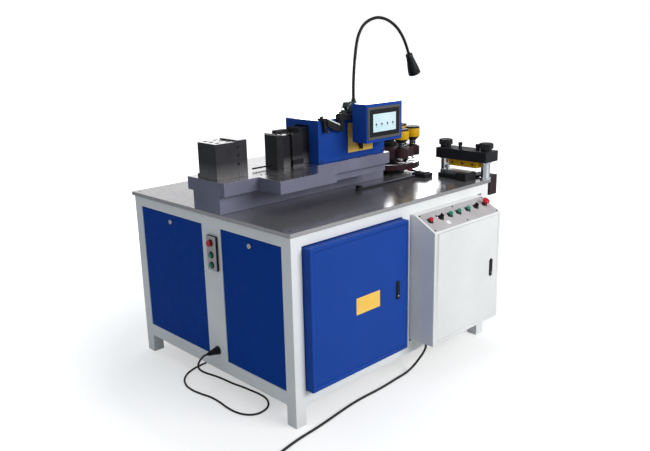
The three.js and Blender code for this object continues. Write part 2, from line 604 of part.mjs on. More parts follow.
// The work lamp: a magnet base on the cover, a bent neck and a bell-shaped head
const lampFoot = slabTop + housing.height + seat;
const lampTop = lampFoot + lamp.baseHeight;
const neckShares = [
  [0, 0], [0, 0.115], [0.004, 0.24], [0.026, 0.484], [0.07, 0.725], [0.113, 0.826], [0.179, 0.911],
  [0.281, 0.97], [0.419, 1], [0.56, 0.981], [0.668, 0.937], [0.779, 0.862], [0.874, 0.756],
  [0.943, 0.639], [1, 0.512],
];
const neckPoints = neckShares.map(([along, up]) =>
  new THREE.Vector3(lamp.start + lamp.reach * along, lamp.line, lampTop + lamp.rise * up));
function makeLampNeck() {
  const curve = new THREE.CatmullRomCurve3(neckPoints);
  const ring = new THREE.Shape().absarc(0, 0, lamp.neckRadius, 0, Math.PI * 2);
  const geometry = new THREE.ExtrudeGeometry(ring, {
    steps: lamp.neckSteps, curveSegments: lamp.neckSides / 2, extrudePath: curve, bevelEnabled: false,
  });
  const tip = neckPoints[neckPoints.length - 1];
  const baseEnd = lamp.start + lamp.neckRadius;
  return joined(
    block([baseEnd - lamp.baseLength, baseEnd], [lamp.line - lamp.baseWidth / 2, lamp.line + lamp.baseWidth / 2],
      [lampFoot, lampTop - lamp.baseEdge]),
    bar([lamp.start, lamp.line, lampTop - lamp.baseEdge * 2], [lamp.start, lamp.line, lampTop + lamp.baseEdge],
      lamp.neckRadius + lamp.baseEdge / 2),
    solid(geometry),
    solid(new THREE.SphereGeometry(lamp.ballRadius, smallSides, smallSides / 2).translate(tip.x, tip.y, tip.z)));
}
add('lamp_neck', makeLampNeck(), blackPlastic);

function makeLampHead() {
  const tip = neckPoints[neckPoints.length - 1];
  const before = neckPoints[neckPoints.length - 2];
  const { ballRadius, headLength, headRadius, headNeckRadius, headWall } = lamp;
  const cup = ballRadius + slide;
  const start = -cup / 2;
  const throat = ballRadius + lamp.headNeckLength;
  const profile = [
    [0, throat], [headNeckRadius, throat], [headRadius, headLength], [headRadius - headWall, headLength],
    [headNeckRadius - headWall, throat + headWall], [0, throat + headWall],
  ];
  const shell = new THREE.LatheGeometry(profile.map(([r, y]) => new THREE.Vector2(r, y)), roundSides);
  const collar = new THREE.CylinderGeometry(headNeckRadius, headNeckRadius, throat + headWall - start, roundSides)
    .translate(0, (throat + headWall + start) / 2, 0);
  const ball = new THREE.SphereGeometry(cup, roundSides, smallSides);
  const turn = new THREE.Quaternion().setFromUnitVectors(
    new THREE.Vector3(0, 1, 0), tip.clone().sub(before).normalize());
  const place = (geometry) => solid(geometry.applyQuaternion(turn).translate(tip.x, tip.y, tip.z));
  return cut(joined(place(shell), place(collar)), place(ball));
}
add('lamp_head', makeLampHead(), blackPlastic);

// The turret punch: a fixed pedestal and shaft, two lobed discs, and a punch in each station
const stationAngles = Array.from({ length: turret.stations }, (_, index) =>
  THREE.MathUtils.degToRad(turret.firstAngle + index * 360 / turret.stations));
const stationPlace = (angle) => [turretStart + turret.pitch * Math.cos(angle),
  turret.line + turret.pitch * Math.sin(angle)];
const lowerBottom = tableTop + turret.pedestalHeight + slide;
const lowerTop = tableTop + turret.pedestalHeight + turret.lowerThick;
const upperBottom = lowerTop + turret.discGap;
const upperTop = upperBottom + turret.upperThick;
const turretBore = turret.shaftRadius / Math.cos(Math.PI / roundSides) + slide; // its flats clear the shaft's corners
const plainRadius = turret.pitch + turret.lobeRadius;
function turretDisc([z0, z1], holeRadius, radius, sides) {
  let body = bar([turretStart, turret.line, z0], [turretStart, turret.line, z1], radius, sides);
  const bores = [];
  for (const angle of stationAngles) {
    const [x, y] = stationPlace(angle);
    if (radius < plainRadius) body = joined(body, bar([x, y, z0], [x, y, z1], turret.lobeRadius, roundSides));
    bores.push(bar([x, y, z0 - overrun], [x, y, z1 + overrun], holeRadius, smallSides));
  }
  return cut(body, ...bores, bar([turretStart, turret.line, z0 - overrun], [turretStart, turret.line, z1 + overrun],
    turretBore));
}
const axle = (from, to, radius) => bar([turretStart, turret.line, from], [turretStart, turret.line, to], radius);
add('turret_pedestal', joined(
  axle(tableTop + seat, tableTop + turret.pedestalHeight, turret.pedestalRadius),
  axle(tableTop + seat, upperTop + turret.shaftCap, turret.shaftRadius),
  axle(upperTop + slide, upperTop + turret.capHeight, turret.capRadius)), blackOxide);
add('turret_lower_disc', turretDisc([lowerBottom, lowerTop], punch.dieRadius, plainRadius, turret.sides),
  brownOxide);
add('turret_upper_disc', joined(
  turretDisc([upperBottom, upperTop], punch.bodyRadius + slide, turret.discRadius, turret.stations * 4),
  cut(axle(lowerTop + slide, upperBottom + overrun, turret.collarRadius),
    axle(lowerTop - overrun, upperTop, turretBore))), brownOxide);
stationAngles.forEach((angle, index) => {
  const [x, y] = stationPlace(angle);
  const stack = (from, to, radius, sides = roundSides) => bar([x, y, from], [x, y, to], radius, sides);
  const sleeveBottom = upperTop + punch.sleeveRise;
  const sleeveTop = sleeveBottom + punch.sleeveHeight;
  add(`punch_${index + 1}`, joined(
    stack(sleeveBottom, sleeveTop, punch.sleeveRadius),
    stack(sleeveTop - overrun, sleeveTop + punch.capHeight, punch.capRadius),
    stack(upperTop, sleeveBottom + overrun, punch.neckRadius, smallSides),
    stack(upperBottom - punch.shankDrop + punch.travel, upperTop + overrun, punch.bodyRadius, smallSides),
    stack(upperBottom - punch.tipDrop, upperTop, punch.tipRadius, smallSides)), yellowPaint);
});

// The shear: a base with a rising lower blade, and an upper blade under a beam on two columns
const columnLines = [column.firstLine, column.firstLine + column.spacing];
const beamBottom = tableTop + beam.rise;
const beamTop = beamBottom + beam.thick;
const bladeXs = [shearStart + shear.pocketStart, shearStart + shear.pocketStart + shear.pocketLength];
const bladeRow = [shear.frontLine + shear.pocketLine, shear.frontLine + shear.pocketLine + shear.pocketDepth];
function makeShearBase() {
  const top = tableTop + shear.height;
  const body = joined(
    block([shearStart, shearStart + shear.frontLength], [shear.frontLine, shear.frontLine + shear.blockDepth],
      [tableTop + seat, top]),
    block([shearStart + shear.rearStart, shearStart + shear.length],
      [shear.frontLine + shear.blockDepth - overrun, shear.frontLine + shear.depth],
      [tableTop + seat, tableTop + shear.rearHeight]),
    block([shearStart + shear.frontLength - overrun, shearSideStart + overrun],
      [shear.frontLine + shear.linkInset, shear.sideDepth], [tableTop + seat, tableTop + shear.sideTop]),
    block([shearSideStart, shearSideStart + shear.sideLength], [seat, shear.sideDepth],
      [tableTop - shear.sideDrop, tableTop + shear.sideTop]));
  return cut(body, block(bladeXs, bladeRow, [tableTop + shear.pocketFloor, top + overrun]));
}
add('shear_base', makeShearBase(), blackOxide);
add('lower_blade', block([bladeXs[0] + slide, bladeXs[1] - slide], [bladeRow[0] + slide, bladeRow[1] - slide],
  [tableTop + shear.pocketFloor + seat, tableTop + shear.bladeHeight]), brightSteel);

const nutRadius = column.nutAcross / 2 / Math.cos(Math.PI / column.nutSides);
['front', 'rear'].forEach((name, index) => {
  const y = columnLines[index];
  const stack = (from, to, radius, sides) => bar([columnStart, y, from], [columnStart, y, to], radius, sides);
  const nutBottom = beamTop + seat + column.neckHeight;
  add(`tie_column_${name}`, joined(
    stack(tableTop + seat, tableTop + column.footHeight, column.footRadius),
    stack(tableTop + seat, nutBottom, column.radius),
    stack(beamTop + seat, nutBottom + overrun, column.neckRadius),
    stack(nutBottom, beamTop + column.nutHeight, nutRadius, column.nutSides)), blackOxide);
});

function makeBeam() {
  const xs = [columnStart - beam.width / 2, columnStart + beam.width / 2];
  const ys = [columnLines[0] - beam.frontReach, columnLines[1] + beam.rearReach];
  let body = block(xs, ys, [beamBottom, beamTop]);
  for (const share of beamBoltShares) {
    const y = columnLines[0] + column.spacing * share;
    body = joined(body,
      bar([columnStart, y, beamTop - overrun], [columnStart, y, beamTop + beam.boltHeight],
        beam.boltRadius - beam.boltNeck / 2, smallSides),
      bar([columnStart, y, beamTop + beam.boltHeight / 2], [columnStart, y, beamTop + beam.boltHeight],
        beam.boltRadius, smallSides));
  }
  for (const y of columnLines) {
    body = cut(body, bar([columnStart, y, beamBottom - overrun], [columnStart, y, beamTop + overrun],
      column.radius + slide));
  }
  return body;
}
add('crosshead', makeBeam(), blackOxide);
const holderStart = bladeXs[1] + slide;
const holderLine = columnLines[0] + column.spacing * holder.lineShare;
add('blade_holder', block([holderStart, holderStart + holder.width],
  [holderLine - holder.length / 2, holderLine + holder.length / 2],
  [beamBottom - holder.height, beamBottom - seat]), yellowPaint);

// The length fence in front of the press, with its clamp at the shear's end and its sliding stop
const fenceRow = [fence.line - fence.width / 2, fence.line + fence.width / 2];
const fenceEnd = fence.start + fence.length;
add('fence_bar', joined(
  block([fence.start, fenceEnd], fenceRow, [tableTop + seat, tableTop + fence.height]),
  block([fenceEnd - fence.clampLength, fenceEnd], [fenceRow[1] - fence.clampReach, fenceRow[1] + fence.stopGap],
    [tableTop + seat, tableTop + fence.clampHeight])), blackOxide);
function makeFenceStop() {
  const xs = [fence.start + fence.stopStart, fence.start + fence.stopStart + fence.stopSize];
  const inner = [fenceRow[0] - slide, fenceRow[1] + slide];
  const body = block(xs, [inner[0] - fence.stopGap, inner[1] + fence.stopGap],
    [tableTop + slide, tableTop + fence.stopSize]);
  return cut(body, block([xs[0] - overrun, xs[1] + overrun], inner,
    [tableTop - overrun, tableTop + fence.height + slide]));
}
add('fence_stop', makeFenceStop(), blackOxide);

// The hydraulic power pack inside the frame: a tank on a skid, with its motor and pump
function makePack() {
  const xs = [packStart, packStart + pack.length];
  const ys = [pack.line, pack.line + pack.depth];
  const skidTop = railTop + pack.skidThick;
  const tankTop = skidTop + pack.tankHeight;
  const y = (ys[0] + ys[1]) / 2;
  const motorX = xs[0] + pack.length * pack.motorShare;
  const pumpX = xs[0] + pack.length * pack.pumpShare;
  return joined(
    block(xs, [pack.skidInset, frame.depth - pack.skidInset], [railTop + seat, skidTop]),
    block(xs, ys, [railTop + seat, tankTop]),
    bar([motorX, y, tankTop - overrun], [motorX, y, tankTop + pack.motorHeight], pack.motorRadius),
    bar([pumpX, y, tankTop - overrun], [pumpX, y, tankTop + pack.pumpHeight], pack.pumpRadius));
}
add('power_pack', makePack(), greyPaint);

// The foot switch, which is kept under the machine: a base with side walls and a hinged treadle
const pedalXs = [pedal.start, pedal.start + pedal.length];
const pedalRow = [pedal.line, pedal.line + pedal.width];
const hingeX = pedalXs[1] - pedal.sideWall - pedal.hingeRadius;
const hingeZ = pedal.treadleRise + pedal.treadleThick / 2;
function makePedalBase() {
  const walls = [[pedalRow[0], pedalRow[0] + pedal.sideWall], [pedalRow[1] - pedal.sideWall, pedalRow[1]]];
  const body = joined(block(pedalXs, pedalRow, [0, pedal.baseHeight]),
    ...walls.map((row) => block(pedalXs, row, [0, pedal.sideHeight])));
  const bores = bar([hingeX, pedalRow[0] - overrun, hingeZ], [hingeX, pedalRow[1] + overrun, hingeZ],
    pedal.hingeRadius + pedal.boreClearance, smallSides);
  return cut(body, bores);
}
add('pedal_base', makePedalBase(), yellowPaint);
function makeTreadle() {
  const inner = [pedalRow[0] + pedal.sideWall + slide, pedalRow[1] - pedal.sideWall - slide];
  const tilt = Math.atan2(pedal.sideHeight - pedal.treadleRise - pedal.treadleThick / 2, pedal.length);
  const geometry = new THREE.BoxGeometry(pedal.length - pedal.sideWall * 2 - pedal.inset, inner[1] - inner[0],
    pedal.treadleThick);
  geometry.translate(-(pedal.length - pedal.sideWall * 2 - pedal.inset) / 2, 0, 0);
  geometry.rotateY(tilt);
  geometry.translate(hingeX, (inner[0] + inner[1]) / 2, hingeZ);
  return joined(solid(geometry),
    bar([hingeX, pedalRow[0] + seat, hingeZ], [hingeX, pedalRow[1] - seat, hingeZ], pedal.hingeRadius,
      smallSides));
}
add('pedal_treadle', makeTreadle(), blackPlastic);

// Free cords. Their points are places on the floor and in the air, from the frame's front left corner.
function tube(points, { radius, sides, steps }) {
  const curve = new THREE.CatmullRomCurve3(points.map((point) => new THREE.Vector3(...point)), false,
    'centripetal');
  const ring = new THREE.Shape().absarc(0, 0, radius, 0, Math.PI * 2);
  return new THREE.ExtrudeGeometry(ring, {
    steps, curveSegments: sides / 2, extrudePath: curve, bevelEnabled: false,
  });
}
const pedalCordFloor = pedalCord.radius + seat;
const pedalCordPoints = [
  [reliefEnd - seat, sideStileLine, socket.rise],
  [-75, sideStileLine, socket.rise],
  [-88, 575, 204],
  [-101, 577, 194],
  [-110, 582, 180],
  [-113, 588, 163],
  [-109, 594, 145],
  [-98, 599, 127],
  [-80, 603, 109],
  [-54, 604, 89],
  [-24, 602, 69],
  [7, 597, 48],
  [38, 583, 25],
  [62, 548, 8],
  [74, 500, pedalCordFloor],
  [82, 430, pedalCordFloor],
  [87, 370, pedalCordFloor],
  [82, 315, pedalCordFloor],
  [63, 274, pedalCordFloor],
  [36, 246, pedalCordFloor],
  [-6, 230, pedalCordFloor],
  [-48, 234, pedalCordFloor],
  [-80, 262, pedalCordFloor],
  [-99, 310, pedalCordFloor],
  [-103, 380, pedalCordFloor],
  [-97, 450, pedalCordFloor],
  [-98, 520, pedalCordFloor],
  [-112, 590, pedalCordFloor],
  [-119, 660, pedalCordFloor],
  [-104, 735, pedalCordFloor],
  [-58, 800, pedalCordFloor],
  [10, 838, pedalCordFloor],
  [95, 852, pedalCordFloor],
  [190, 852, pedalCordFloor],
  [285, pedalRow[0] + pedal.width / 2, pedalCordFloor],
  [pedalXs[0] - seat, pedalRow[0] + pedal.width / 2, pedalCordFloor],
];
add('pedal_cord', tube(pedalCordPoints, pedalCord), cordRubber);

const mainsFloor = mainsCord.radius + seat;
const coilEntry = [-236, -101, mainsFloor];
const mainsPoints = [
  [glandX, gland.line, glandEnd - seat],
  [glandX, gland.line, 134],
  [852, -50, 100],
  [838, -36, 68],
  [816, -24, 38],
  [780, -16, 15],
  [734, -15, mainsFloor],
  [680, -18, mainsFloor],
  [600, -24, mainsFloor],
  [510, -27, mainsFloor],
  [417, -26, mainsFloor],
  [330, -30, mainsFloor],
  [240, -40, mainsFloor],
  [150, -52, mainsFloor],
  [60, -62, mainsFloor],
  [-46, -70, mainsFloor],
  [-140, -84, mainsFloor],
  [-200, -95, mainsFloor],
  coilEntry,
];
add('mains_cord', tube(mainsPoints, mainsCord), cordRubber);

// The rest of the lead: a flat coil that winds in on the floor and out again on top of itself
const coilPitch = mainsCord.radius * 2 + mainsCoil.pitchSlack;
const coilStart = new THREE.Vector3(...coilEntry);
const heading = coilStart.clone().sub(new THREE.Vector3(...mainsPoints[mainsPoints.length - 2])).normalize();
coilStart.addScaledVector(heading, seat);
const bendStart = coilStart.clone().addScaledVector(heading, mainsCord.radius * 2);
const entryAngle = Math.atan2(-heading.x, heading.y);
const outerRadius = mainsCoil.meanRadius + coilPitch * mainsCoil.turnsEachWay / 2;
const innerRadius = mainsCoil.meanRadius - coilPitch * mainsCoil.turnsEachWay / 2;
const coilCentre = [bendStart.x - outerRadius * Math.cos(entryAngle),
  bendStart.y - outerRadius * Math.sin(entryAngle)];
class Coil extends THREE.Curve {
  getPoint(share) {
    const wound = mainsCoil.turnsEachWay;
    const crossing = mainsCoil.crossingTurns;
    const turns = share * (wound * 2 + crossing);
    const climb = THREE.MathUtils.clamp((turns - wound) / crossing, 0, 1);
    const inward = Math.min(turns, wound);
    const outward = Math.max(turns - wound - crossing, 0);
    const radius = outerRadius - coilPitch * (inward - outward);
    const angle = entryAngle + turns * Math.PI * 2;
    return new THREE.Vector3(coilCentre[0] + radius * Math.cos(angle), coilCentre[1] + radius * Math.sin(angle),
      mainsFloor + coilPitch * climb);
  }
}
function coilLine() {
  const coil = new Coil();
  const steps = Math.round(mainsCoil.loopSteps * (mainsCoil.turnsEachWay * 2 + mainsCoil.crossingTurns));
  const points = Array.from({ length: steps + 1 }, (_, index) => coil.getPoint(index / steps));
  const ahead = points[steps].clone().sub(points[steps - 1]).setLength(mainsCord.radius * 2).add(points[steps]);
  return [coilStart, ...points, ahead];
}
function sweep(points, radius, sides) {
  const positions = [];
  const faces = [];
  const up = new THREE.Vector3(0, 0, 1);
  points.forEach((point, index) => {
    const before = points[Math.max(index - 1, 0)];
    const after = points[Math.min(index + 1, points.length - 1)];
    const side = after.clone().sub(before).cross(up).normalize();
    const rise = side.clone().cross(after.clone().sub(before)).normalize();
    for (let corner = 0; corner < sides; corner += 1) {
      const angle = (corner + 0.5) * 2 * Math.PI / sides;
      const place = point.clone()
        .addScaledVector(side, radius * Math.cos(angle))
        .addScaledVector(rise, radius * Math.sin(angle));
      positions.push(...place.toArray());
      const next = (corner + 1) % sides;
      if (index > 0) {
        const [a, b] = [(index - 1) * sides + corner, (index - 1) * sides + next];
        faces.push(a, a + sides, b, b, a + sides, b + sides);
      }
    }
  });
  const last = (points.length - 1) * sides;
  for (let corner = 1; corner < sides - 1; corner += 1) {
    faces.push(0, corner, corner + 1, last, last + corner + 1, last + corner);
  }
  const geometry = new THREE.BufferGeometry();
  geometry.setAttribute('position', new THREE.Float32BufferAttribute(positions, 3));
  geometry.setIndex(faces);
  geometry.computeVertexNormals();
  return geometry;
}
function leastGap(points, diameter) {
  const apart = Math.ceil(mainsCoil.loopSteps / 3);
  let least = Infinity;
  points.forEach((point, index) => {
    for (let other = index + apart; other < points.length; other += 1) {
      least = Math.min(least, point.distanceTo(points[other]) - diameter);
    }
  });
  return least;
}
const coilPoints = coilLine();
add('mains_cord_coil', sweep(coilPoints, mainsCord.radius, mainsCoil.sides), cordRubber);
console.log(`least gap between the coil's turns: ${leastGap(coilPoints, mainsCord.radius * 2).toFixed(2)} mm`);

// The origin is the middle of the machine's box on the floor, measured without its free cords
const cordNames = [
  'pedal_cord', 'pedal_plug', 'pedal_base', 'pedal_treadle', 'mains_cord', 'mains_cord_coil',
];
const box = new THREE.Box3();
for (const [name, mesh] of Object.entries(meshes)) {
  if (!cordNames.includes(name)) box.expandByObject(mesh);
}
machine.position.set(-(box.min.x + box.max.x) / 2, -(box.min.y + box.max.y) / 2, 0);

export default machine;
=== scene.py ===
"""The looks of the busbar processing machine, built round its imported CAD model.

The model is in metres, +Z up: x runs right along the table, y runs to the back. Shapes are drawn in
millimetres from the frame's front left corner on the floor, and piece() brings them into the model.
Each visible piece rides on the CAD body that carries it, and takes its place from a node's box.
"""

import json
import math

import bmesh
import bpy
from mathutils import Matrix, Vector


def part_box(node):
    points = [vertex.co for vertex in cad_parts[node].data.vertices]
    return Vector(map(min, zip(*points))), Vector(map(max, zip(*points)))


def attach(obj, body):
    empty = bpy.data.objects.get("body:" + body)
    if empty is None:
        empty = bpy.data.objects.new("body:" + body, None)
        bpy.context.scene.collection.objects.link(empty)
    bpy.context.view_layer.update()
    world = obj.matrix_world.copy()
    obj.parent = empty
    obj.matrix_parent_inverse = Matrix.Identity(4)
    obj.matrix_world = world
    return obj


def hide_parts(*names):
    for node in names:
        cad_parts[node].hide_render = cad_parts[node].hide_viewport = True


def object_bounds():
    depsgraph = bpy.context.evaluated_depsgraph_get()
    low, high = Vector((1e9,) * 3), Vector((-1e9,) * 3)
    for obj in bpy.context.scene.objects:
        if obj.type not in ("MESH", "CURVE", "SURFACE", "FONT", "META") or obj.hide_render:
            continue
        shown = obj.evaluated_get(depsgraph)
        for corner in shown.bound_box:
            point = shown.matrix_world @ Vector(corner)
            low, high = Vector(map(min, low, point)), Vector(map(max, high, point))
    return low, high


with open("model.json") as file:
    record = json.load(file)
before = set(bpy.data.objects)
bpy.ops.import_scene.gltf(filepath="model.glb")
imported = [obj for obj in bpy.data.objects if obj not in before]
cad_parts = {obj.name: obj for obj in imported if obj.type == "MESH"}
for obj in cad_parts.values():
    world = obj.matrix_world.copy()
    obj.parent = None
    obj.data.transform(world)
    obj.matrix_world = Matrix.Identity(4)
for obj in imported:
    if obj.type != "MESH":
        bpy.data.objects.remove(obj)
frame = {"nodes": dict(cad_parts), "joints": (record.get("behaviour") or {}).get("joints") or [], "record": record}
cad_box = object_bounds()
NODES = frame["nodes"]
RECORD = frame["record"]
BODY_OF = {node: body for body, nodes in RECORD["behaviour"]["bodies"].items() for node in nodes}
SLOT_OF = {part["node"]: part["material_slot"] for part in RECORD["subparts"]}
JOINTS = {joint["name"]: joint for joint in frame["joints"]}

MM = 0.001
X, Y, Z = Vector((1, 0, 0)), Vector((0, 1, 0)), Vector((0, 0, 1))
FRAME_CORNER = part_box("frame")[0]
TO_MODEL = Matrix.Translation(FRAME_CORNER) @ Matrix.Scale(MM, 4)


def at(x, y, z):
    """A place in millimetres from the frame's front left corner, in the model's metres."""
    return FRAME_CORNER + Vector((x, y, z)) * MM


def span(node):
    """A node's lowest and highest corners, in millimetres from the frame's front left corner."""
    return [(corner - FRAME_CORNER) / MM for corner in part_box(node)]


def add(tree, kind, inputs=None, **settings):
    """A new node with its settings; an input takes a value, or the node or socket that feeds it."""
    node = tree.nodes.new("ShaderNode" + kind)
    for name, value in settings.items():
        setattr(node, name, value)
    for socket, value in (inputs or {}).items():
        if isinstance(value, bpy.types.Node):
            value = value.outputs[0]
        if isinstance(value, bpy.types.NodeSocket):
            tree.links.new(value, node.inputs[socket])
        else:
            node.inputs[socket].default_value = value
    return node


# ---------------- camera, light and floor
IMAGE_WIDTH = 650
SENSOR = 36.0
CAMERA_PLACE = Vector((-2.65585, -2.71255, 1.7326))
CAMERA_YAW, CAMERA_PITCH, CAMERA_ROLL = math.radians(45.838), math.radians(15.248), math.radians(1.229)
FOCAL_PIXELS = 713.2
FAR_CLIP = 60
WHITE = (1, 1, 1, 1)
AMBIENT_COLOR, AMBIENT_STRENGTH = (0.86, 0.95, 1.0, 1), 0.42
# Reflections see white up to the first height of their direction, and a dim ceiling from the second
CEILING_START, CEILING_END, CEILING_STRENGTH = 0.30, 0.36, 0.06
# name, place, target, size and watts of each lamp, and its colour
LAMPS = [
    ("key", (1.5, -6.2, 3.6), (0.1, 0, 0.7), (4.0, 2.6), 300, (1, 0.985, 0.965)),
    ("top", (0.2, 0.6, 4.6), (0, 0, 0.9), (3.0, 3.0), 60, (1, 1, 1)),
    ("window", (3.6, 3.0, 1.9), (0.2, -0.2, 0.9), (1.7, 1.2), 22, (1, 1, 1)),
]
FLOOR_SIZE = 30
FLOOR_GAP = 0.0005
FLOOR_GREY = (0.62, 0.62, 0.62, 1)
# The floor's own light for the camera grows from the object outwards, until it is white
FADE_START, FADE_END, NEAR_GLOW = 1.2, 2.4, 0.5


def make_camera():
    """The camera of the photograph: its place, its heading and its small roll."""
    ahead = Vector((math.cos(CAMERA_PITCH) * math.cos(CAMERA_YAW),
                    math.cos(CAMERA_PITCH) * math.sin(CAMERA_YAW), -math.sin(CAMERA_PITCH)))
    level = ahead.cross(Z).normalized()
    down = -level.cross(ahead)
    right = math.cos(CAMERA_ROLL) * level + math.sin(CAMERA_ROLL) * down
    below = -math.sin(CAMERA_ROLL) * level + math.cos(CAMERA_ROLL) * down
    data = bpy.data.cameras.new("camera")
    data.sensor_width = SENSOR
    data.lens = FOCAL_PIXELS * SENSOR / IMAGE_WIDTH
    data.clip_end = FAR_CLIP
    camera = bpy.data.objects.new("camera", data)
    camera.matrix_world = Matrix.Translation(CAMERA_PLACE) @ Matrix((right, -below, -ahead)).transposed().to_4x4()
    bpy.context.scene.collection.objects.link(camera)
    bpy.context.scene.camera = camera


def make_world():
    """Even light on the object, white behind it for the camera, and a studio for reflections.

    Metal and glass see the white surroundings near the horizon, and a dim ceiling above them.
    """
    world = bpy.data.worlds.new("studio")
    world.use_nodes = True
    tree = world.node_tree
    tree.nodes.clear()
    paths = add(tree, "LightPath").outputs
    height = add(tree, "SeparateXYZ", {0: add(tree, "TexCoord").outputs["Generated"]}).outputs["Z"]
    ceiling = add(tree, "MapRange", {"Value": height, "From Min": CEILING_START, "From Max": CEILING_END,
                                     "To Min": 1.0, "To Max": CEILING_STRENGTH}, interpolation_type="SMOOTHSTEP")
    soft = add(tree, "Background", {"Color": AMBIENT_COLOR, "Strength": AMBIENT_STRENGTH})
    shiny = add(tree, "Background", {"Color": WHITE, "Strength": ceiling})
    white = add(tree, "Background", {"Color": WHITE, "Strength": 1.0})
    seen = add(tree, "Math", {0: paths["Is Camera Ray"], 1: paths["Is Transmission Ray"]}, operation="MAXIMUM")
    studio = add(tree, "MixShader", {"Fac": paths["Is Glossy Ray"], 1: soft, 2: shiny})
    add(tree, "OutputWorld", {"Surface": add(tree, "MixShader", {"Fac": seen, 1: studio, 2: white})})
    bpy.context.scene.world = world


def make_light(name, place, target, size, watts, color):
    data = bpy.data.lights.new(name, "AREA")
    data.shape = "RECTANGLE"
    data.size, data.size_y = size
    data.energy = watts
    data.color = color
    light = bpy.data.objects.new(name, data)
    light.location = place
    light.rotation_euler = (Vector(target) - Vector(place)).to_track_quat("-Z", "Y").to_euler()
    light.visible_camera = False
    bpy.context.scene.collection.objects.link(light)


def make_floor():
    """A pale floor that takes the object's shadow and fades to white around it."""
    mesh = bmesh.new()
    bmesh.ops.create_grid(mesh, x_segments=2, y_segments=2, size=FLOOR_SIZE)
    data = bpy.data.meshes.new("floor")
    mesh.to_mesh(data)
    mesh.free()
    floor = bpy.data.objects.new("floor", data)
    floor.location = (0, 0, cad_box[0].z - FLOOR_GAP)
    bpy.context.scene.collection.objects.link(floor)
    material = bpy.data.materials.new("floor")
    material.use_nodes = True
    tree = material.node_tree
    tree.nodes.clear()
    reach = add(tree, "VectorMath", {0: add(tree, "TexCoord").outputs["Object"]}, operation="LENGTH")
    fade = add(tree, "MapRange", {"Value": reach.outputs["Value"], "From Min": FADE_START, "From Max": FADE_END,
                                  "To Min": NEAR_GLOW, "To Max": 1.0})
    extra = add(tree, "Math", {0: add(tree, "LightPath").outputs["Is Camera Ray"], 1: fade}, operation="MULTIPLY")
    lit = add(tree, "Emission", {"Color": WHITE, "Strength": extra})
    both = add(tree, "AddShader", {0: add(tree, "BsdfDiffuse", {"Color": FLOOR_GREY}), 1: lit})
    add(tree, "OutputMaterial", {"Surface": both})
    data.materials.append(material)


make_camera()
make_world()
for lamp in LAMPS:
    make_light(*lamp)
make_floor()
bpy.context.scene.view_settings.view_transform = "Standard"


# ---------------- materials
LOOKS = {}


def shade(color, gain, lift=0.0):
    """A lighter or darker version of a colour."""
    return tuple(min(1.0, part * gain + lift) for part in color)


class Look:
    """A procedural material: one principled shader, with noise for its grain and colour."""

    def __init__(self, name, color, roughness, metallic=0.0):
        self.color = color
        self.material = bpy.data.materials.new(name)
        self.material.use_nodes = True
        self.tree = self.material.node_tree
        self.shader = self.tree.nodes["Principled BSDF"]
        self.set(Base_Color=(*color, 1), Roughness=roughness, Metallic=metallic)
        self.last_bump = None
        self.tint = None
        LOOKS[name] = self

    def set(self, **values):
        for socket, value in values.items():
            self.shader.inputs[socket.replace("_", " ")].default_value = value
        return self

    def add(self, kind, inputs=None, **settings):
        return add(self.tree, kind, inputs, **settings)

    def feed(self, socket, output):
        self.tree.links.new(output, self.shader.inputs[socket])
        return self

    def noise(self, size, detail=3.0, stretch=(1, 1, 1), low=0.3, high=0.7):
        """Noise with blobs about size metres across, as a socket that runs from 0 to 1."""
        place = self.add("Mapping", {"Vector": self.add("TexCoord").outputs["Object"], "Scale": stretch})
        noise = self.add("TexNoise", {"Vector": place, "Scale": 1 / size, "Detail": detail})
        return self.add("MapRange", {"Value": noise.outputs["Fac"], "From Min": low, "From Max": high}).outputs[0]

    def mottle(self, fac, color, strength=1.0):
        """Mixes another colour in, by the socket's share."""
        share = self.add("Math", {0: fac, 1: strength}, operation="MULTIPLY")
        first = (*self.color, 1) if self.tint is None else self.tint
        mix = self.add("Mix", {"Factor": share, "A": first, "B": (*color, 1)}, data_type="RGBA")
        self.tint = mix.outputs["Result"]
        return self.feed("Base Color", self.tint)

    def rough(self, fac, low, high):
        return self.feed("Roughness", self.add("MapRange", {"Value": fac, "To Min": low, "To Max": high}).outputs[0])

    def bump(self, fac, depth, strength):
        inputs = {"Strength": strength, "Distance": depth, "Height": fac}
        if self.last_bump is not None:
            inputs["Normal"] = self.last_bump
        self.last_bump = self.add("Bump", inputs).outputs["Normal"]
        return self.feed("Normal", self.last_bump)

    def near_foot(self, share, fac):
        """A factor that is full at the piece's foot and gone above a share of its height, broken by fac."""
        height = self.add("SeparateXYZ", {0: self.add("TexCoord").outputs["Generated"]}).outputs["Z"]
        fall = self.add("MapRange", {"Value": height, "From Max": share, "To Min": 1.0, "To Max": 0.0})
        return self.add("Math", {0: fall, 1: fac}, operation="MULTIPLY").outputs[0]

    def worn_edges(self, color, radius=0.0016, strength=0.4):
        """Brightens the edges, where hands and work rub the finish away."""
        edge = self.add("Bevel", {"Radius": radius}, samples=4)
        turn = self.add("VectorMath", {0: edge, 1: self.add("NewGeometry").outputs["Normal"]}, operation="DOT_PRODUCT")
        edges = self.add("MapRange", {"Value": turn.outputs["Value"], "From Min": 0.995, "From Max": 0.93})
        patchy = self.add("Math", {0: edges, 1: self.noise(0.012, low=0.35, high=0.6)}, operation="MULTIPLY")
        return self.mottle(patchy.outputs[0], color, strength)


def enamel(name, color, roughness=0.38, coat=0.0, level=0.3):
    """Powder coat or enamel: an even colour with a fine orange peel."""
    look = Look(name, color, roughness).set(Coat_Weight=coat, Coat_Roughness=0.12, Specular_IOR_Level=level)
    look.mottle(look.noise(size=0.22), shade(color, 0.86), strength=0.5)
    look.rough(look.noise(size=0.05), roughness - 0.05, roughness + 0.09)
    return look.bump(look.noise(size=0.0022, detail=2.0), depth=0.0001, strength=0.35)


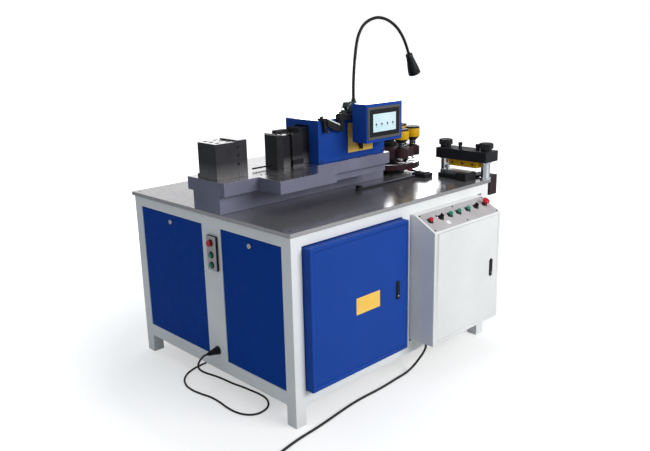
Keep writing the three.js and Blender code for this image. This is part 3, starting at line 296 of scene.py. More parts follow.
def machined(name, color, roughness, grain=(1, 14, 14), streak=0.0011, depth=0.00005, metallic=0.9):
    """Ground or milled steel: fine streaks along one direction, and faint stains."""
    look = Look(name, color, roughness, metallic).set(Specular_IOR_Level=0.12)
    look.mottle(look.noise(size=0.16, detail=5.0), shade(color, 0.62), strength=0.55)
    streaks = look.noise(streak * 14, 4.0, grain)
    look.rough(streaks, roughness - 0.07, roughness + 0.1)
    return look.bump(streaks, depth, strength=0.35)


def oxide(name, color, roughness=0.42, worn=(0.22, 0.21, 0.2), foot_reflection=0.0):
    """Blackened steel: dark, slightly blotched, with bare steel along its edges, and a painted reflection that
    lightens it towards its foot.
    """
    look = Look(name, color, roughness).set(Specular_IOR_Level=0.12)
    look.mottle(look.noise(size=0.05, detail=5.0), shade(color, 1.7, 0.003), strength=0.5)
    # Painted reflection: a lighter grey mixed in towards the piece's foot and broken up by streaky noise. It stands
    # for the bright reflection on the block's lower part.
    if foot_reflection:
        reflection_breakup = look.noise(size=0.006, detail=6.0, stretch=(6, 6, 1), low=0.2, high=0.6)
        look.mottle(look.near_foot(foot_reflection, reflection_breakup), (0.24, 0.23, 0.235), strength=0.75)
    look.worn_edges(worn)
    look.rough(look.noise(size=0.02, detail=5.0), roughness - 0.05, roughness + 0.1)
    return look.bump(look.noise(size=0.0016, detail=3.0), depth=0.00006, strength=0.4)


def mirror(name, color, roughness, metallic=1.0):
    """Finely ground steel that shows what stands on it."""
    look = Look(name, color, roughness, metallic)
    look.mottle(look.noise(size=0.2, detail=4.0), shade(color, 0.93), strength=0.5)
    return look.rough(look.noise(size=0.05, detail=4.0, stretch=(8, 1, 8)), roughness * 0.75, roughness * 1.3)


def polished(name, color, roughness):
    look = Look(name, color, roughness, metallic=1.0)
    look.rough(look.noise(size=0.01, detail=4.0), roughness * 0.6, roughness * 1.6)
    return look.bump(look.noise(size=0.006, detail=2.0), depth=0.00002, strength=0.3)


def plastic(name, color, roughness=0.4):
    look = Look(name, color, roughness)
    look.mottle(look.noise(size=0.03), shade(color, 1.25, 0.003), strength=0.4)
    look.rough(look.noise(size=0.008), roughness - 0.06, roughness + 0.08)
    return look.bump(look.noise(size=0.0009, detail=2.0), depth=0.00004, strength=0.4)


def glow(name, color, strength, second=None):
    """A lit face: its own light, with a slow change of tint across it."""
    look = Look(name, color, roughness=0.3).set(Specular_IOR_Level=0.1, Emission_Strength=strength)
    look.mottle(look.noise(size=0.09), second or shade(color, 0.9), strength=0.8)
    return look.feed("Emission Color", look.tint)


enamel("frame_white", (0.86, 0.87, 0.88), 0.42)
enamel("panel_navy", (0.003, 0.052, 0.33), 0.5, level=0.04)
enamel("cover_blue", (0.012, 0.062, 0.34), 0.42, level=0.07)
# Painted sheen: a lighter blue under a strong, high-index coat. It is a glossier copy of the cover's paint that only
# the faces looking up take, so that they show a bright reflection.
enamel("painted_sheen_blue_top", (0.05, 0.13, 0.45), 0.2, coat=1.0, level=1.0).set(Coat_IOR=2.4)
enamel("cabinet_white", (0.80, 0.805, 0.81), 0.4)
enamel("station_grey", (0.36, 0.37, 0.36), 0.45)
enamel("pedal_yellow", (0.75, 0.5, 0.03))
enamel("sleeve_yellow", (0.69, 0.385, 0.003), 0.34, coat=0.05, level=0.1)
enamel("lamp_green", (0.03, 0.04, 0.036), 0.4)
polished("bright_steel", (0.66, 0.67, 0.69), 0.18)
polished("column_steel", (0.72, 0.77, 0.82), 0.1)
polished("copper", (0.7, 0.36, 0.2), 0.3)
mirror("ground_steel", (0.94, 0.93, 0.94), 0.06)
mirror("table_steel", (0.47, 0.46, 0.475), 0.19, metallic=0.84)
mirror("slab_steel", (0.92, 0.91, 0.93), 0.22)
machined("bed_steel", (0.188, 0.190, 0.262), 0.5, grain=(1, 1, 12), streak=0.0016, metallic=0.0)
machined("holder_olive", (0.78, 0.43, 0.008), 0.42, grain=(1, 1, 8), metallic=0.0)
machined("screen_case", (0.13, 0.125, 0.125), 0.4, grain=(1, 1, 6), metallic=0.2)
machined("plate_grey", (0.56, 0.53, 0.54), 0.42, grain=(1, 10, 10), metallic=0.1)
# The die and ram steels take a painted reflection that lightens them towards their foot.
oxide("die_steel", (0.027, 0.026, 0.031), foot_reflection=0.46)
oxide("ram_steel", (0.012, 0.012, 0.015), 0.36, foot_reflection=0.35)
oxide("black_oxide", (0.016, 0.016, 0.019), 0.4)
oxide("brown_plate", (0.030, 0.017, 0.020), 0.45)
oxide("turret_brown", (0.032, 0.015, 0.018), 0.38, worn=(0.16, 0.1, 0.09))
plastic("button_red", (0.52, 0.008, 0.02), 0.24)
plastic("button_green", (0.012, 0.22, 0.15), 0.24)
plastic("black_plastic", (0.010, 0.010, 0.011), 0.42).set(Specular_IOR_Level=0.25)
plastic("lamp_black", (0.008, 0.008, 0.010), 0.36).set(Specular_IOR_Level=0.22)
plastic("cord_rubber", (0.010, 0.010, 0.011), 0.55)
plastic("screen_mark", (0.05, 0.08, 0.10), 0.5)
plastic("label_yellow", (0.95, 0.56, 0.09), 0.35)
# label_white also serves as the painted highlight along the screen arm's link.
plastic("label_white", (0.8, 0.8, 0.8), 0.35)
plastic("handle_red", (0.42, 0.01, 0.02))
plastic("core_brown", (0.14, 0.05, 0.02))
plastic("core_blue", (0.02, 0.08, 0.4))
plastic("core_green", (0.06, 0.25, 0.04))
glow("screen_glow", (0.40, 0.56, 0.62), 0.48, second=(0.52, 0.62, 0.65))
glow("bulb", (0.85, 0.83, 0.76), 0.3)


# ---------------- forms
ROUND = 48  # sides of a turned piece
SMALL_ROUND = 36  # sides of a screw's head
SHARP = 35  # an edge that turns by more degrees than this is left sharp, or rounded by a bevel
MERGE_GAP = 0.00002
FLAT_ANGLE = math.radians(1)
LOOKS_UP = 0.95  # the least upward part of a face's normal for it to take the look of the top


def round_edges(piece, bevel, segments, sharp):
    rounding = piece.modifiers.new("rounding", "BEVEL")
    rounding.width = bevel * MM
    rounding.segments = segments
    rounding.limit_method = "ANGLE"
    rounding.angle_limit = math.radians(sharp)
    rounding.harden_normals = True


def settle(name, data, look, node, bevel=0.0, stands=False, segments=2, sharp=SHARP, top=None, end=None):
    """Puts a finished mesh in the scene, riding with a CAD node's body; where it stands for the node, the
    node is hidden. top names another look for the faces that look up, and end one for all right of a place.
    """
    data.materials.clear()
    data.materials.append(LOOKS[look].material)
    if top:
        data.materials.append(LOOKS[top].material)
        for face in data.polygons:
            face.material_index = 1 if face.normal.z > LOOKS_UP else 0
    if end:
        end_look, end_place = end
        data.materials.append(LOOKS[end_look].material)
        for face in data.polygons:
            if face.center.x > end_place:
                face.material_index = 1
    piece = bpy.data.objects.new(name, data)
    bpy.context.scene.collection.objects.link(piece)
    data.shade_smooth()
    if bevel:
        round_edges(piece, bevel, segments, sharp)
        level = piece.modifiers.new("level", "WEIGHTED_NORMAL")
        level.mode = "FACE_AREA_WITH_ANGLE"
        level.weight = 100
    else:
        data.set_sharp_from_angle(angle=math.radians(sharp))
    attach(piece, BODY_OF[node])
    if stands:
        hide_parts(node)
    return piece


class Shape:
    """A mesh put together from simple forms in millimetres, then placed with piece()."""

    def __init__(self):
        self.mesh = bmesh.new()

    def skin(self, rings):
        """Joins rings of points into one closed skin."""
        loops = [[self.mesh.verts.new(point) for point in ring] for ring in rings]
        for lower, upper in zip(loops, loops[1:]):
            for index in range(len(lower)):
                after = (index + 1) % len(lower)
                self.mesh.faces.new((lower[index], lower[after], upper[after], upper[index]))
        self.mesh.faces.new(loops[0][::-1])
        self.mesh.faces.new(loops[-1])
        return self

    def box(self, low, high):
        low, high = Vector(low), Vector(high)
        place = Matrix.Translation((low + high) / 2) @ Matrix.Diagonal((*(high - low), 1))
        bmesh.ops.create_cube(self.mesh, size=1, matrix=place)
        return self

    def turned(self, start, direction, rings, sides=ROUND):
        """Rings of (radius, height) about an axis; a third value makes the ring that many-cornered."""
        turn = Z.rotation_difference(Vector(direction).normalized()).to_matrix().to_4x4()
        place = Matrix.Translation(Vector(start)) @ turn
        loops = []
        for radius, height, *corners in rings:
            loop = []
            for index in range(sides):
                angle = math.tau * index / sides
                reach = radius
                if corners:
                    share = math.tau / corners[0]
                    reach = radius * math.cos(share / 2) / math.cos(angle % share - share / 2)
                loop.append(place @ Vector((reach * math.cos(angle), reach * math.sin(angle), height)))
            loops.append(loop)
        return self.skin(loops)

    def prism(self, points, along):
        """A flat outline, drawn out along a vector."""
        points = [Vector(point) for point in points]
        return self.skin([points, [point + along for point in points]])

    def tray(self, low, high, wall):
        """A folded sheet with turned-in sides, open to +Y."""
        def ring(y, inset):
            return [Vector((x, y, z)) for x, z in (
                (low.x + inset, low.z + inset), (high.x - inset, low.z + inset),
                (high.x - inset, high.z - inset), (low.x + inset, high.z - inset))]

        return self.skin([ring(low.y, 0), ring(high.y, 0), ring(high.y, wall), ring(low.y + wall, wall)])

    def tube(self, points, radius, sides=16, rib=0.0):
        """A tube along points; rib makes every other ring thinner, as on a gooseneck."""
        loops = []
        up = Vector((0, 1, 0.01)).normalized()
        for index, point in enumerate(points):
            before, after = points[max(index - 1, 0)], points[min(index + 1, len(points) - 1)]
            ahead = (after - before).normalized()
            side = ahead.cross(up).normalized()
            rise = side.cross(ahead)
            reach = radius - (rib if index % 2 else 0.0)
            angles = [math.tau * step / sides for step in range(sides)]
            loops.append([point + (side * math.cos(angle) + rise * math.sin(angle)) * reach for angle in angles])
        return self.skin(loops)

    def piece(self, name, look, node, bevel=0.0, **finish):
        self.mesh.transform(TO_MODEL)
        bmesh.ops.recalc_face_normals(self.mesh, faces=self.mesh.faces)
        data = bpy.data.meshes.new(name)
        self.mesh.to_mesh(data)
        self.mesh.free()
        return settle(name, data, look, node, bevel, **finish)


def block(name, look, node, low, high, bevel=0.0, **finish):
    """A piece that is one box."""
    return Shape().box(low, high).piece(name, look, node, bevel, **finish)


def lathe(name, look, node, start, direction, rings, sides=ROUND, **finish):
    """A piece that is one turned form."""
    return Shape().turned(start, direction, rings, sides).piece(name, look, node, **finish)


def spring(name, node, first, last, side, other, turns, steps, wire, sides):
    """A coil of wire between two places; side and other are the two radii of its round."""
    points = []
    for step in range(turns * steps + 1):
        turn = math.tau * step / steps
        points.append(first.lerp(last, step / (turns * steps)) + side * math.cos(turn) + other * math.sin(turn))
    Shape().tube(points, wire, sides).piece(name, "bright_steel", node)


def dress(node, bevel, look=None, **finish):
    """A CAD node's own shape with its flat faces joined and its edges rounded."""
    data = NODES[node].data.copy()
    mesh = bmesh.new()
    mesh.from_mesh(data)
    bmesh.ops.remove_doubles(mesh, verts=mesh.verts, dist=MERGE_GAP)
    bmesh.ops.dissolve_limit(mesh, angle_limit=FLAT_ANGLE, verts=mesh.verts, edges=mesh.edges)
    bmesh.ops.recalc_face_normals(mesh, faces=mesh.faces)
    mesh.to_mesh(data)
    mesh.free()
    return settle(node + "_shape", data, look or SLOT_OF[node], node, bevel, stands=True, **finish)


def refine(node, bevel):
    """Rounds the edges of a CAD node that stays in view, and leaves its mesh as it is."""
    piece = NODES[node]
    weld = piece.modifiers.new("weld", "WELD")
    weld.merge_threshold = MERGE_GAP
    flat = piece.modifiers.new("flat", "DECIMATE")
    flat.decimate_type = "DISSOLVE"
    flat.angle_limit = FLAT_ANGLE
    round_edges(piece, bevel, 2, SHARP)
    return piece


def carve(piece, *cutters):
    """Cuts other pieces out of a piece for good, and removes the cutters."""
    for cutter in cutters:
        step = piece.modifiers.new("carve", "BOOLEAN")
        step.operation = "DIFFERENCE"
        step.object = cutter
        step.solver = "EXACT"
    bpy.context.view_layer.update()
    baked = bpy.data.meshes.new_from_object(piece.evaluated_get(bpy.context.evaluated_depsgraph_get()))
    piece.modifiers.clear()
    piece.data = baked
    for cutter in cutters:
        bpy.data.objects.remove(cutter)


def socket_screw(shape, place, normal, radius, height):
    """A round head with a six-sided recess."""
    recess = radius * 0.58
    shape.turned(place, normal, [
        (radius, 0), (radius, height * 0.88), (radius * 0.93, height),
        (recess, height, 6), (recess * 0.97, height * 0.35, 6)], SMALL_ROUND)


def screw_set(name, look, node, places, normal, radius, height):
    """A piece of socket screws that are all alike."""
    shape = Shape()
    for place in places:
        socket_screw(shape, place, normal, radius, height)
    shape.piece(name, look, node)


def hex_head(shape, place, normal, radius, height):
    """A six-sided head with its corners turned off at the top."""
    shape.turned(place, normal, [
        (radius, 0, 6), (radius, height * 0.82, 6), (radius * 0.9, height * 0.95), (radius * 0.82, height)],
        SMALL_ROUND)


for cad_node, cad_object in NODES.items():
    cad_object.data.materials.clear()
    cad_object.data.materials.append(LOOKS[SLOT_OF[cad_node]].material)

# ---------------- free cords
# The points of both cords, in millimetres from the frame's front left corner, as the CAD has them
STATION_LINE = 573.3
SOCKET_RISE = 207
PEDAL_RADIUS = 0.005
MAINS_RADIUS = 0.006
PEDAL_CORD_POINTS = [
    (-65.6, STATION_LINE, SOCKET_RISE), (-75, STATION_LINE, SOCKET_RISE), (-88, 575, 204), (-101, 577, 194),
    (-110, 582, 180), (-113, 588, 163), (-109, 594, 145), (-98, 599, 127), (-80, 603, 109), (-54, 604, 89),
    (-24, 602, 69), (7, 597, 48), (38, 583, 25), (62, 548, 8),
    (74, 500, 5.3), (82, 430, 5.3), (87, 370, 5.3), (82, 315, 5.3), (63, 274, 5.3), (36, 246, 5.3),
    (-6, 230, 5.3), (-48, 234, 5.3), (-80, 262, 5.3), (-99, 310, 5.3), (-103, 380, 5.3), (-97, 450, 5.3),
    (-98, 520, 5.3), (-112, 590, 5.3), (-119, 660, 5.3), (-104, 735, 5.3), (-58, 800, 5.3), (10, 838, 5.3),
    (95, 852, 5.3), (190, 852, 5.3), (285, 850, 5.3), (329.7, 850, 5.3),
]
MAINS_POINTS = [
    (859.9, -60, 148.7), (859.9, -60, 134), (852, -50, 100), (838, -36, 68), (816, -24, 38), (780, -16, 15),
    (734, -15, 6.3), (680, -18, 6.3), (600, -24, 6.3), (510, -27, 6.3), (417, -26, 6.3), (330, -30, 6.3),
    (240, -40, 6.3), (150, -52, 6.3), (60, -62, 6.3), (-46, -70, 6.3), (-140, -84, 6.3), (-200, -95, 6.3),
    (-236, -101, 6.3),
]
COIL_TURNS = 3
COIL_MEAN_RADIUS = 66
COIL_PITCH = 13.8
COIL_STEPS = 24
COIL_CLIMB = 0.5  # the turn in which the winding steps up onto its first layer
COIL_GAP = 0.3
CORE_LOOKS = ("core_brown", "black_plastic", "core_blue", "core_green")
CORE_PATH = [(-4, 1.6), (6, 2.2), (18, 3.6), (30, 5.4), (38, 6.2)]  # ahead of the sheath, and to the side
CORE_RADIUS = 1.6
FERRULE = [(1.3, -0.5), (1.3, 8), (1.0, 9)]


def coil_points(entry, before):
    """A flat coil that winds in on the floor and out again on top of itself."""
    heading = (Vector(entry) - Vector(before)).normalized()
    bend = Vector(entry) + heading * (COIL_GAP + MAINS_RADIUS * 2 / MM)
    angle = math.atan2(-heading.x, heading.y)
    outer = COIL_MEAN_RADIUS + COIL_PITCH * COIL_TURNS / 2
    centre = bend - Vector((math.cos(angle), math.sin(angle), 0)) * outer
    total = COIL_TURNS * 2 + COIL_CLIMB
    count = round(COIL_STEPS * total)
    points = []
    for index in range(count + 1):
        turns = total * index / count
        climb = min(max((turns - COIL_TURNS) / COIL_CLIMB, 0), 1)
        radius = outer - COIL_PITCH * (min(turns, COIL_TURNS) - max(turns - COIL_TURNS - COIL_CLIMB, 0))
        turn = angle + turns * math.tau
        points.append((centre.x + radius * math.cos(turn), centre.y + radius * math.sin(turn),
                       bend.z + COIL_PITCH * climb))
    return points


def make_cord(name, points, radius, node):
    """One smooth open spline through the points."""
    curve = bpy.data.curves.new(name, "CURVE")
    curve.dimensions = "3D"
    curve.bevel_depth = radius
    curve.bevel_resolution = 5
    curve.use_fill_caps = True
    spline = curve.splines.new("BEZIER")
    spline.resolution_u = 5
    spline.bezier_points.add(len(points) - 1)
    for knot, point in zip(spline.bezier_points, points):
        knot.co = at(*point)
        knot.handle_left_type = knot.handle_right_type = "AUTO"
    curve.materials.append(LOOKS["cord_rubber"].material)
    cord = bpy.data.objects.new(name, curve)
    bpy.context.scene.collection.objects.link(cord)
    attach(cord, BODY_OF[node])
    return cord


def make_core_ends(line):
    """The lead's bare end: four cores that fan out of the sheath, each with a ferrule."""
    end = Vector(line[-1])
    ahead = (end - Vector(line[-2])).normalized()
    side = ahead.cross(Z)
    made = []
    for index, look in enumerate(CORE_LOOKS):
        share = index - (len(CORE_LOOKS) - 1) / 2
        points = [end + ahead * reach + side * share * spread for reach, spread in CORE_PATH]
        made.append(Shape().tube(points, CORE_RADIUS, 12).piece(f"mains_core_{index + 1}", look, "mains_cord"))
        made.append(lathe(f"mains_ferrule_{index + 1}", "copper", "mains_cord", points[-1], points[-1] - points[-2],
                          FERRULE, 12))
    return made


def make_plug():
    """The foot switch's plug and the socket that it is screwed into."""
    low, high = span("pedal_socket")
    middle = (low + high) / 2
    radius, reach = (high.z - low.z) / 2, high.x - low.x
    lathe("pedal_socket_shape", "black_plastic", "pedal_socket", (high.x, middle.y, middle.z), -X, [
        (radius * 1.18, 0), (radius * 1.18, 3), (radius, 3.4), (radius, reach - 1), (radius - 1, reach),
        (radius * 0.8, reach), (radius * 0.79, 4)], stands=True)
    low, high = span("pedal_plug")
    radius, length = (high.z - low.z) / 2, high.x - low.x
    nut_start, nut_end, teeth, ribs = length * 0.2, length * 0.42, 8, 5
    rings = [(radius * 0.85, 0), (radius * 0.85, length * 0.19), (radius * 0.9, nut_start), (radius, nut_start + 0.7)]
    for tooth in range(teeth):
        place = nut_start + 1 + (nut_end - nut_start - 2) * tooth / teeth
        rings += [(radius, place), (radius * 0.95, place + 0.7)]
    rings += [(radius * 0.93, nut_end), (radius * 0.82, nut_end + 0.5), (radius * 0.82, length * 0.7),
              (radius * 0.7, length * 0.76)]
    for rib in range(ribs):
        taper = radius * (0.66 - 0.24 * rib / ribs)
        place = length * (0.77 + 0.22 * rib / ribs)
        rings += [(taper, place), (taper, place + 1.6), (taper * 0.86, place + 2), (taper * 0.86, place + 2.6)]
    rings += [(radius * 0.4, length)]
    lathe("pedal_plug_shape", "black_plastic", "pedal_plug", (high.x, middle.y, middle.z), -X, rings, stands=True)


mains_line = MAINS_POINTS + coil_points(MAINS_POINTS[-1], MAINS_POINTS[-2])
mains_cord = make_cord("mains_lead", mains_line, MAINS_RADIUS, "mains_cord")
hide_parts("mains_cord", "mains_cord_coil")
pedal_cord = make_cord("pedal_lead", PEDAL_CORD_POINTS, PEDAL_RADIUS, "pedal_cord")
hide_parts("pedal_cord")
core_ends = make_core_ends(mains_line)
make_plug()
pedal_base = refine("pedal_base", 1.5)
pedal_treadle = refine("pedal_treadle", 1.2)


# ---------------- frame, panels and table
TABLE_SCREW = [(7, 0), (7, 2.15), (3.4, 2.2, 6), (3.3, 0.6, 6)]
TABLE_SCREW_INSET = 32
TABLE_SCREW_SHARES = (0.0, 0.335, 0.668, 1.0)


def make_side_panel(panel, lock):
    """A lift-off panel with its quarter-turn lock: a ring, and a dished head with a bar across it."""
    low, high = span(panel)
    block(panel + "_shape", "panel_navy", panel, low, high, 1.8, stands=True)
    face = low.x
    low, high = span(lock)
    radius, proud = (high.z - low.z) / 2, face - low.x
    y, z = (low.y + high.y) / 2, (low.z + high.z) / 2
    lathe(lock + "_ring", "black_plastic", panel, (face + 2, y, z), -X, [
        (radius * 1.12, 0), (radius * 1.12, 2.6), (radius * 1.02, 3.4)])
    head = Shape().turned((face, y, z), -X, [
        (radius * 0.96, 0), (radius * 0.96, proud * 0.7), (radius * 0.84, proud), (radius * 0.5, proud),
        (radius * 0.48, proud * 0.72)])
    head.turned((high.x, y, z), -X, [(radius * 0.6, 0), (radius * 0.6, high.x - face)])
    head.box((low.x + proud * 0.05, y - 1.6, z - radius * 0.5), (low.x + proud * 0.4, y + 1.6, z + radius * 0.5))
    head.piece(lock + "_shape", "bright_steel", lock, stands=True)


def make_table_screws():
    """Countersunk screws along the table's edges."""
    low, high = span("tabletop")
    inset = TABLE_SCREW_INSET
    screws = Shape()
    for share in TABLE_SCREW_SHARES:
        for y in (low.y + inset, high.y - inset):
            screws.turned((low.x + inset + (high.x - low.x - 2 * inset) * share, y, high.z - 2), Z, TABLE_SCREW,
                          SMALL_ROUND)
    screws.piece("table_screws", "black_oxide", "tabletop")


dress("frame", 3)
for plate in ("tabletop", "right_panel", "back_panel"):
    dress(plate, 1.5)
make_side_panel("left_panel_rear", "panel_lock_rear")
make_side_panel("left_panel_front", "panel_lock_front")
make_table_screws()


# ---------------- button station
STATION_RIM = 1.2
STATION_SCREW_INSET = 6
STATION_COLLAR = [(17.5, -1), (17.5, 2.6), (16.2, 3.6), (11.9, 3.6), (11.7, 0)]
START_RADIUS = 11.2


def make_station():
    """The box on the left end with its face plate, and a mushroom cap over two flush ones."""
    node = "button_station"
    low, high = span(node)
    block("station_box", "black_plastic", node, low, high, 4, stands=True, segments=3)
    plate_low = Vector((low.x - 1, low.y + STATION_RIM, low.z + STATION_RIM))
    plate_high = Vector((low.x + 2, high.y - STATION_RIM, high.z - STATION_RIM))
    block("station_plate", "plate_grey", node, plate_low, plate_high, 1)
    inset, collars = STATION_SCREW_INSET, Shape()
    screw_set("station_screws", "bright_steel", node, [
        (plate_low.x, y, z) for y in (plate_low.y + inset, plate_high.y - inset)
        for z in (plate_low.z + inset, plate_high.z - inset)], -X, 2.6, 1.4)
    for cap in ("station_stop", "station_start_upper", "station_start_lower"):
        cap_low, cap_high = span(cap)
        start = (low.x, (cap_low.y + cap_high.y) / 2, (cap_low.z + cap_high.z) / 2)
        collars.turned(start, -X, STATION_COLLAR)
        reach = low.x - cap_low.x
        if cap == "station_stop":
            radius = (cap_high.z - cap_low.z) / 2
            rings = [(9, -3), (9, reach * 0.52), (radius * 0.9, reach * 0.58), (radius, reach * 0.66),
                     (radius, reach * 0.82), (radius * 0.93, reach * 0.93), (radius * 0.8, reach * 0.98),
                     (radius * 0.55, reach)]
        else:
            radius = START_RADIUS
            rings = [(radius, -8), (radius, reach * 0.84), (radius * 0.94, reach * 0.96), (radius * 0.85, reach),
                     (radius * 0.4, reach * 0.97)]
        lathe(cap + "_shape", SLOT_OF[cap], cap, start, -X, rings, stands=True, sharp=40)
    collars.piece("station_collars", "black_plastic", node)


make_station()


# ---------------- cupboard and cabinet
CASE_WALL = 4
DOOR_SHEET = 2.5
HINGE_GAP, DOOR_GAP = 0.3, 2
DOORWAY_REACH, DOORWAY_DEPTH = 5, 9
CAPSULE_STEPS = 12
KEY_SHARE = 0.22
TOOLBOX_LABEL_SHARES, TOOLBOX_LABEL_SIZE = (0.425, 0.42), Vector((163, 1.5, 82))
SHELF_GAP, SHELF_THICK = 14, 2.5
SLOPE_NORMAL = -Vector(JOINTS["stop_push"]["axis"]).normalized()
UP_SLOPE = -SLOPE_NORMAL.cross(X).normalized()
CABINET_FLOOR = 179
CABINET_FOOT, FOOT_BACK, FOOT_INSET = 167.3, 26, 20
SLOPE_RISE = 11  # from the door's top to the foot of the slope
SLOPE_BACK = -24
CONTROL_UP = 0.556
CONTROLS_ACROSS = {
    "stop_button": 0.085, "mains_switch": 0.236, "green_button_1": 0.366, "green_button_2": 0.493,
    "green_button_3": 0.632, "selector_knob": 0.762, "emergency_stop": 0.9,
}
CONTROL_RING = [(18.5, 0.4), (18.5, 2.4), (17.6, 3), (14.6, 3)]
CONTROL_COLLAR = [(15, 0.5), (15, 8.6), (13.8, 10), (12, 10), (11.9, 3)]
MUSHROOM_CAP = [(9.5, 7), (9.5, 19), (17, 20.5), (20, 23), (20, 29), (18.4, 33), (14.5, 35.2), (8, 36)]
FLUSH_CAP = [(11.3, 6), (11.3, 19.8), (10.6, 21.4), (9.6, 22), (8.2, 21.4)]
TURNING_CAP = [(11.3, 6), (11.3, 15), (10.4, 16)]
LEVER_REACH, LEVER_HALF, LEVER_START, LEVER_HEIGHT = 10, 3.6, 15, 11.5
INDICATOR = [(9, 0.8), (9, 5), (7.6, 6), (5, 6)]


def capsule(x, y, low, high, half, depth):
    """A long plate with round ends about two heights, drawn out towards the back."""
    points = []
    for height, first in ((high, 0.0), (low, math.pi)):
        for step in range(CAPSULE_STEPS + 1):
            angle = first + math.pi * step / CAPSULE_STEPS
            points.append((x + half * math.cos(angle), y, height + half * math.sin(angle)))
    return Shape().prism(points, Y * depth)


def make_lock(node, door):
    """A flush lever lock: a long rounded plate with its lever sunk in it, a key barrel and a stem."""
    low, high = span(node)
    face = span(door)[0].y
    x, radius, height = (low.x + high.x) / 2, (high.x - low.x) / 2, high.z - low.z
    capsule(x, low.y + 2.6, low.z + radius, high.z - radius, radius, face - low.y - 2.8).piece(
        node + "_plate", "black_plastic", node, 1.2, stands=True)
    capsule(x, low.y + 0.2, low.z + radius * 1.1, high.z - radius * 1.1, radius * 0.62, 2.6).piece(
        node + "_lever", "lamp_black", node, 1)
    lathe(node + "_barrel", "bright_steel", node, (x, low.y, low.z + height * KEY_SHARE), Y, [
        (radius * 0.3, 0.1), (radius * 0.34, 0.8), (radius * 0.34, 3)])
    lathe(node + "_stem", "bright_steel", node, (x, face, (low.z + high.z) / 2 + height * KEY_SHARE), Y, [
        (7, -2), (7, high.y - face), (6, high.y - face)])


def hang_door(case, room, look, body, door, lock):
    """Cuts the doorway and the room behind it into a case, and hangs the folded door with its lock."""
    front = span(body)[0].y
    low, high = span(door)
    doorway = Shape().box((low.x - HINGE_GAP, front - DOORWAY_REACH, low.z - DOOR_GAP),
                          (high.x + DOOR_GAP, high.y + DOORWAY_DEPTH, high.z + DOOR_GAP))
    carve(case, doorway.piece("cut_doorway", look, body), room.piece("cut_cavity", look, body))
    Shape().tray(low, high, DOOR_SHEET).piece(door + "_shape", look, door, 2.2, stands=True, segments=3)
    make_lock(lock, door)


def make_toolbox():
    """The tool cupboard: its case with one shelf, and the door with a blank label."""
    low, high = span("toolbox_body")
    door_low, door_high = span("toolbox_door")
    case = block("toolbox_case", "cover_blue", "toolbox_body", low, high, 7, stands=True, segments=4)
    back, left = high - Vector((1, 1, 1)) * CASE_WALL, low.x + CASE_WALL
    room = Shape().box((left, door_high.y + CASE_WALL, low.z + CASE_WALL), back)
    hang_door(case, room, "cover_blue", "toolbox_body", "toolbox_door", "toolbox_lock")
    across, up = TOOLBOX_LABEL_SHARES
    label = Vector((door_low.x + (door_high.x - door_low.x) * across, door_low.y - 0.5,
                    door_low.z + (door_high.z - door_low.z) * up))
    block("toolbox_label", "label_yellow", "toolbox_door", label, label + TOOLBOX_LABEL_SIZE, 0.3)
    shelf = (door_low.z + door_high.z) / 2
    block("toolbox_shelf", "cover_blue", "toolbox_body", (left, door_high.y + SHELF_GAP, shelf),
          (back.x, back.y, shelf + SHELF_THICK), 0.8)


def make_cabinet():
    """The electrical cabinet with its sloping panel and foot; gives the places on the slope."""
    node, look = "cabinet_body", "cabinet_white"
    low, high = span(node)
    door_high = span("cabinet_door")[1]
    front, width, slope_low = low.y, high.x - low.x, door_high.z + SLOPE_RISE
    outline = [(front, CABINET_FLOOR), (front, slope_low), (SLOPE_BACK, high.z), (high.y, high.z),
               (high.y, CABINET_FLOOR)]
    case = Shape().prism([(low.x, y, z) for y, z in outline], X * width).piece(
        "cabinet_case", look, node, 4, stands=True, segments=3)
    wall, steep = CASE_WALL, CASE_WALL / SLOPE_NORMAL.z
    inner_front, inner_floor, inner_top = door_high.y + wall, CABINET_FLOOR + wall, high.z - steep
    inner_slope = slope_low + (inner_front - front) * (high.z - slope_low) / (SLOPE_BACK - front) - steep
    inner = [(inner_front, inner_floor), (inner_front, inner_slope), (SLOPE_BACK, inner_top),
             (high.y - wall, inner_top), (high.y - wall, inner_floor)]
    room = Shape().prism([(low.x + wall, y, z) for y, z in inner], X * (width - 2 * wall))
    hang_door(case, room, look, node, "cabinet_door", "cabinet_lock")
    block("cabinet_foot", look, node, (low.x + FOOT_INSET, 0.3, CABINET_FOOT),
          (high.x - FOOT_INSET, FOOT_BACK, CABINET_FLOOR + 2), 2)
    corner = Vector((low.x, front, slope_low))
    along = Vector((0, SLOPE_BACK - front, high.z - slope_low))

    def on_slope(across, up, lift=0.0):
        return corner + X * (width * across) + along * up + SLOPE_NORMAL * lift

    return on_slope


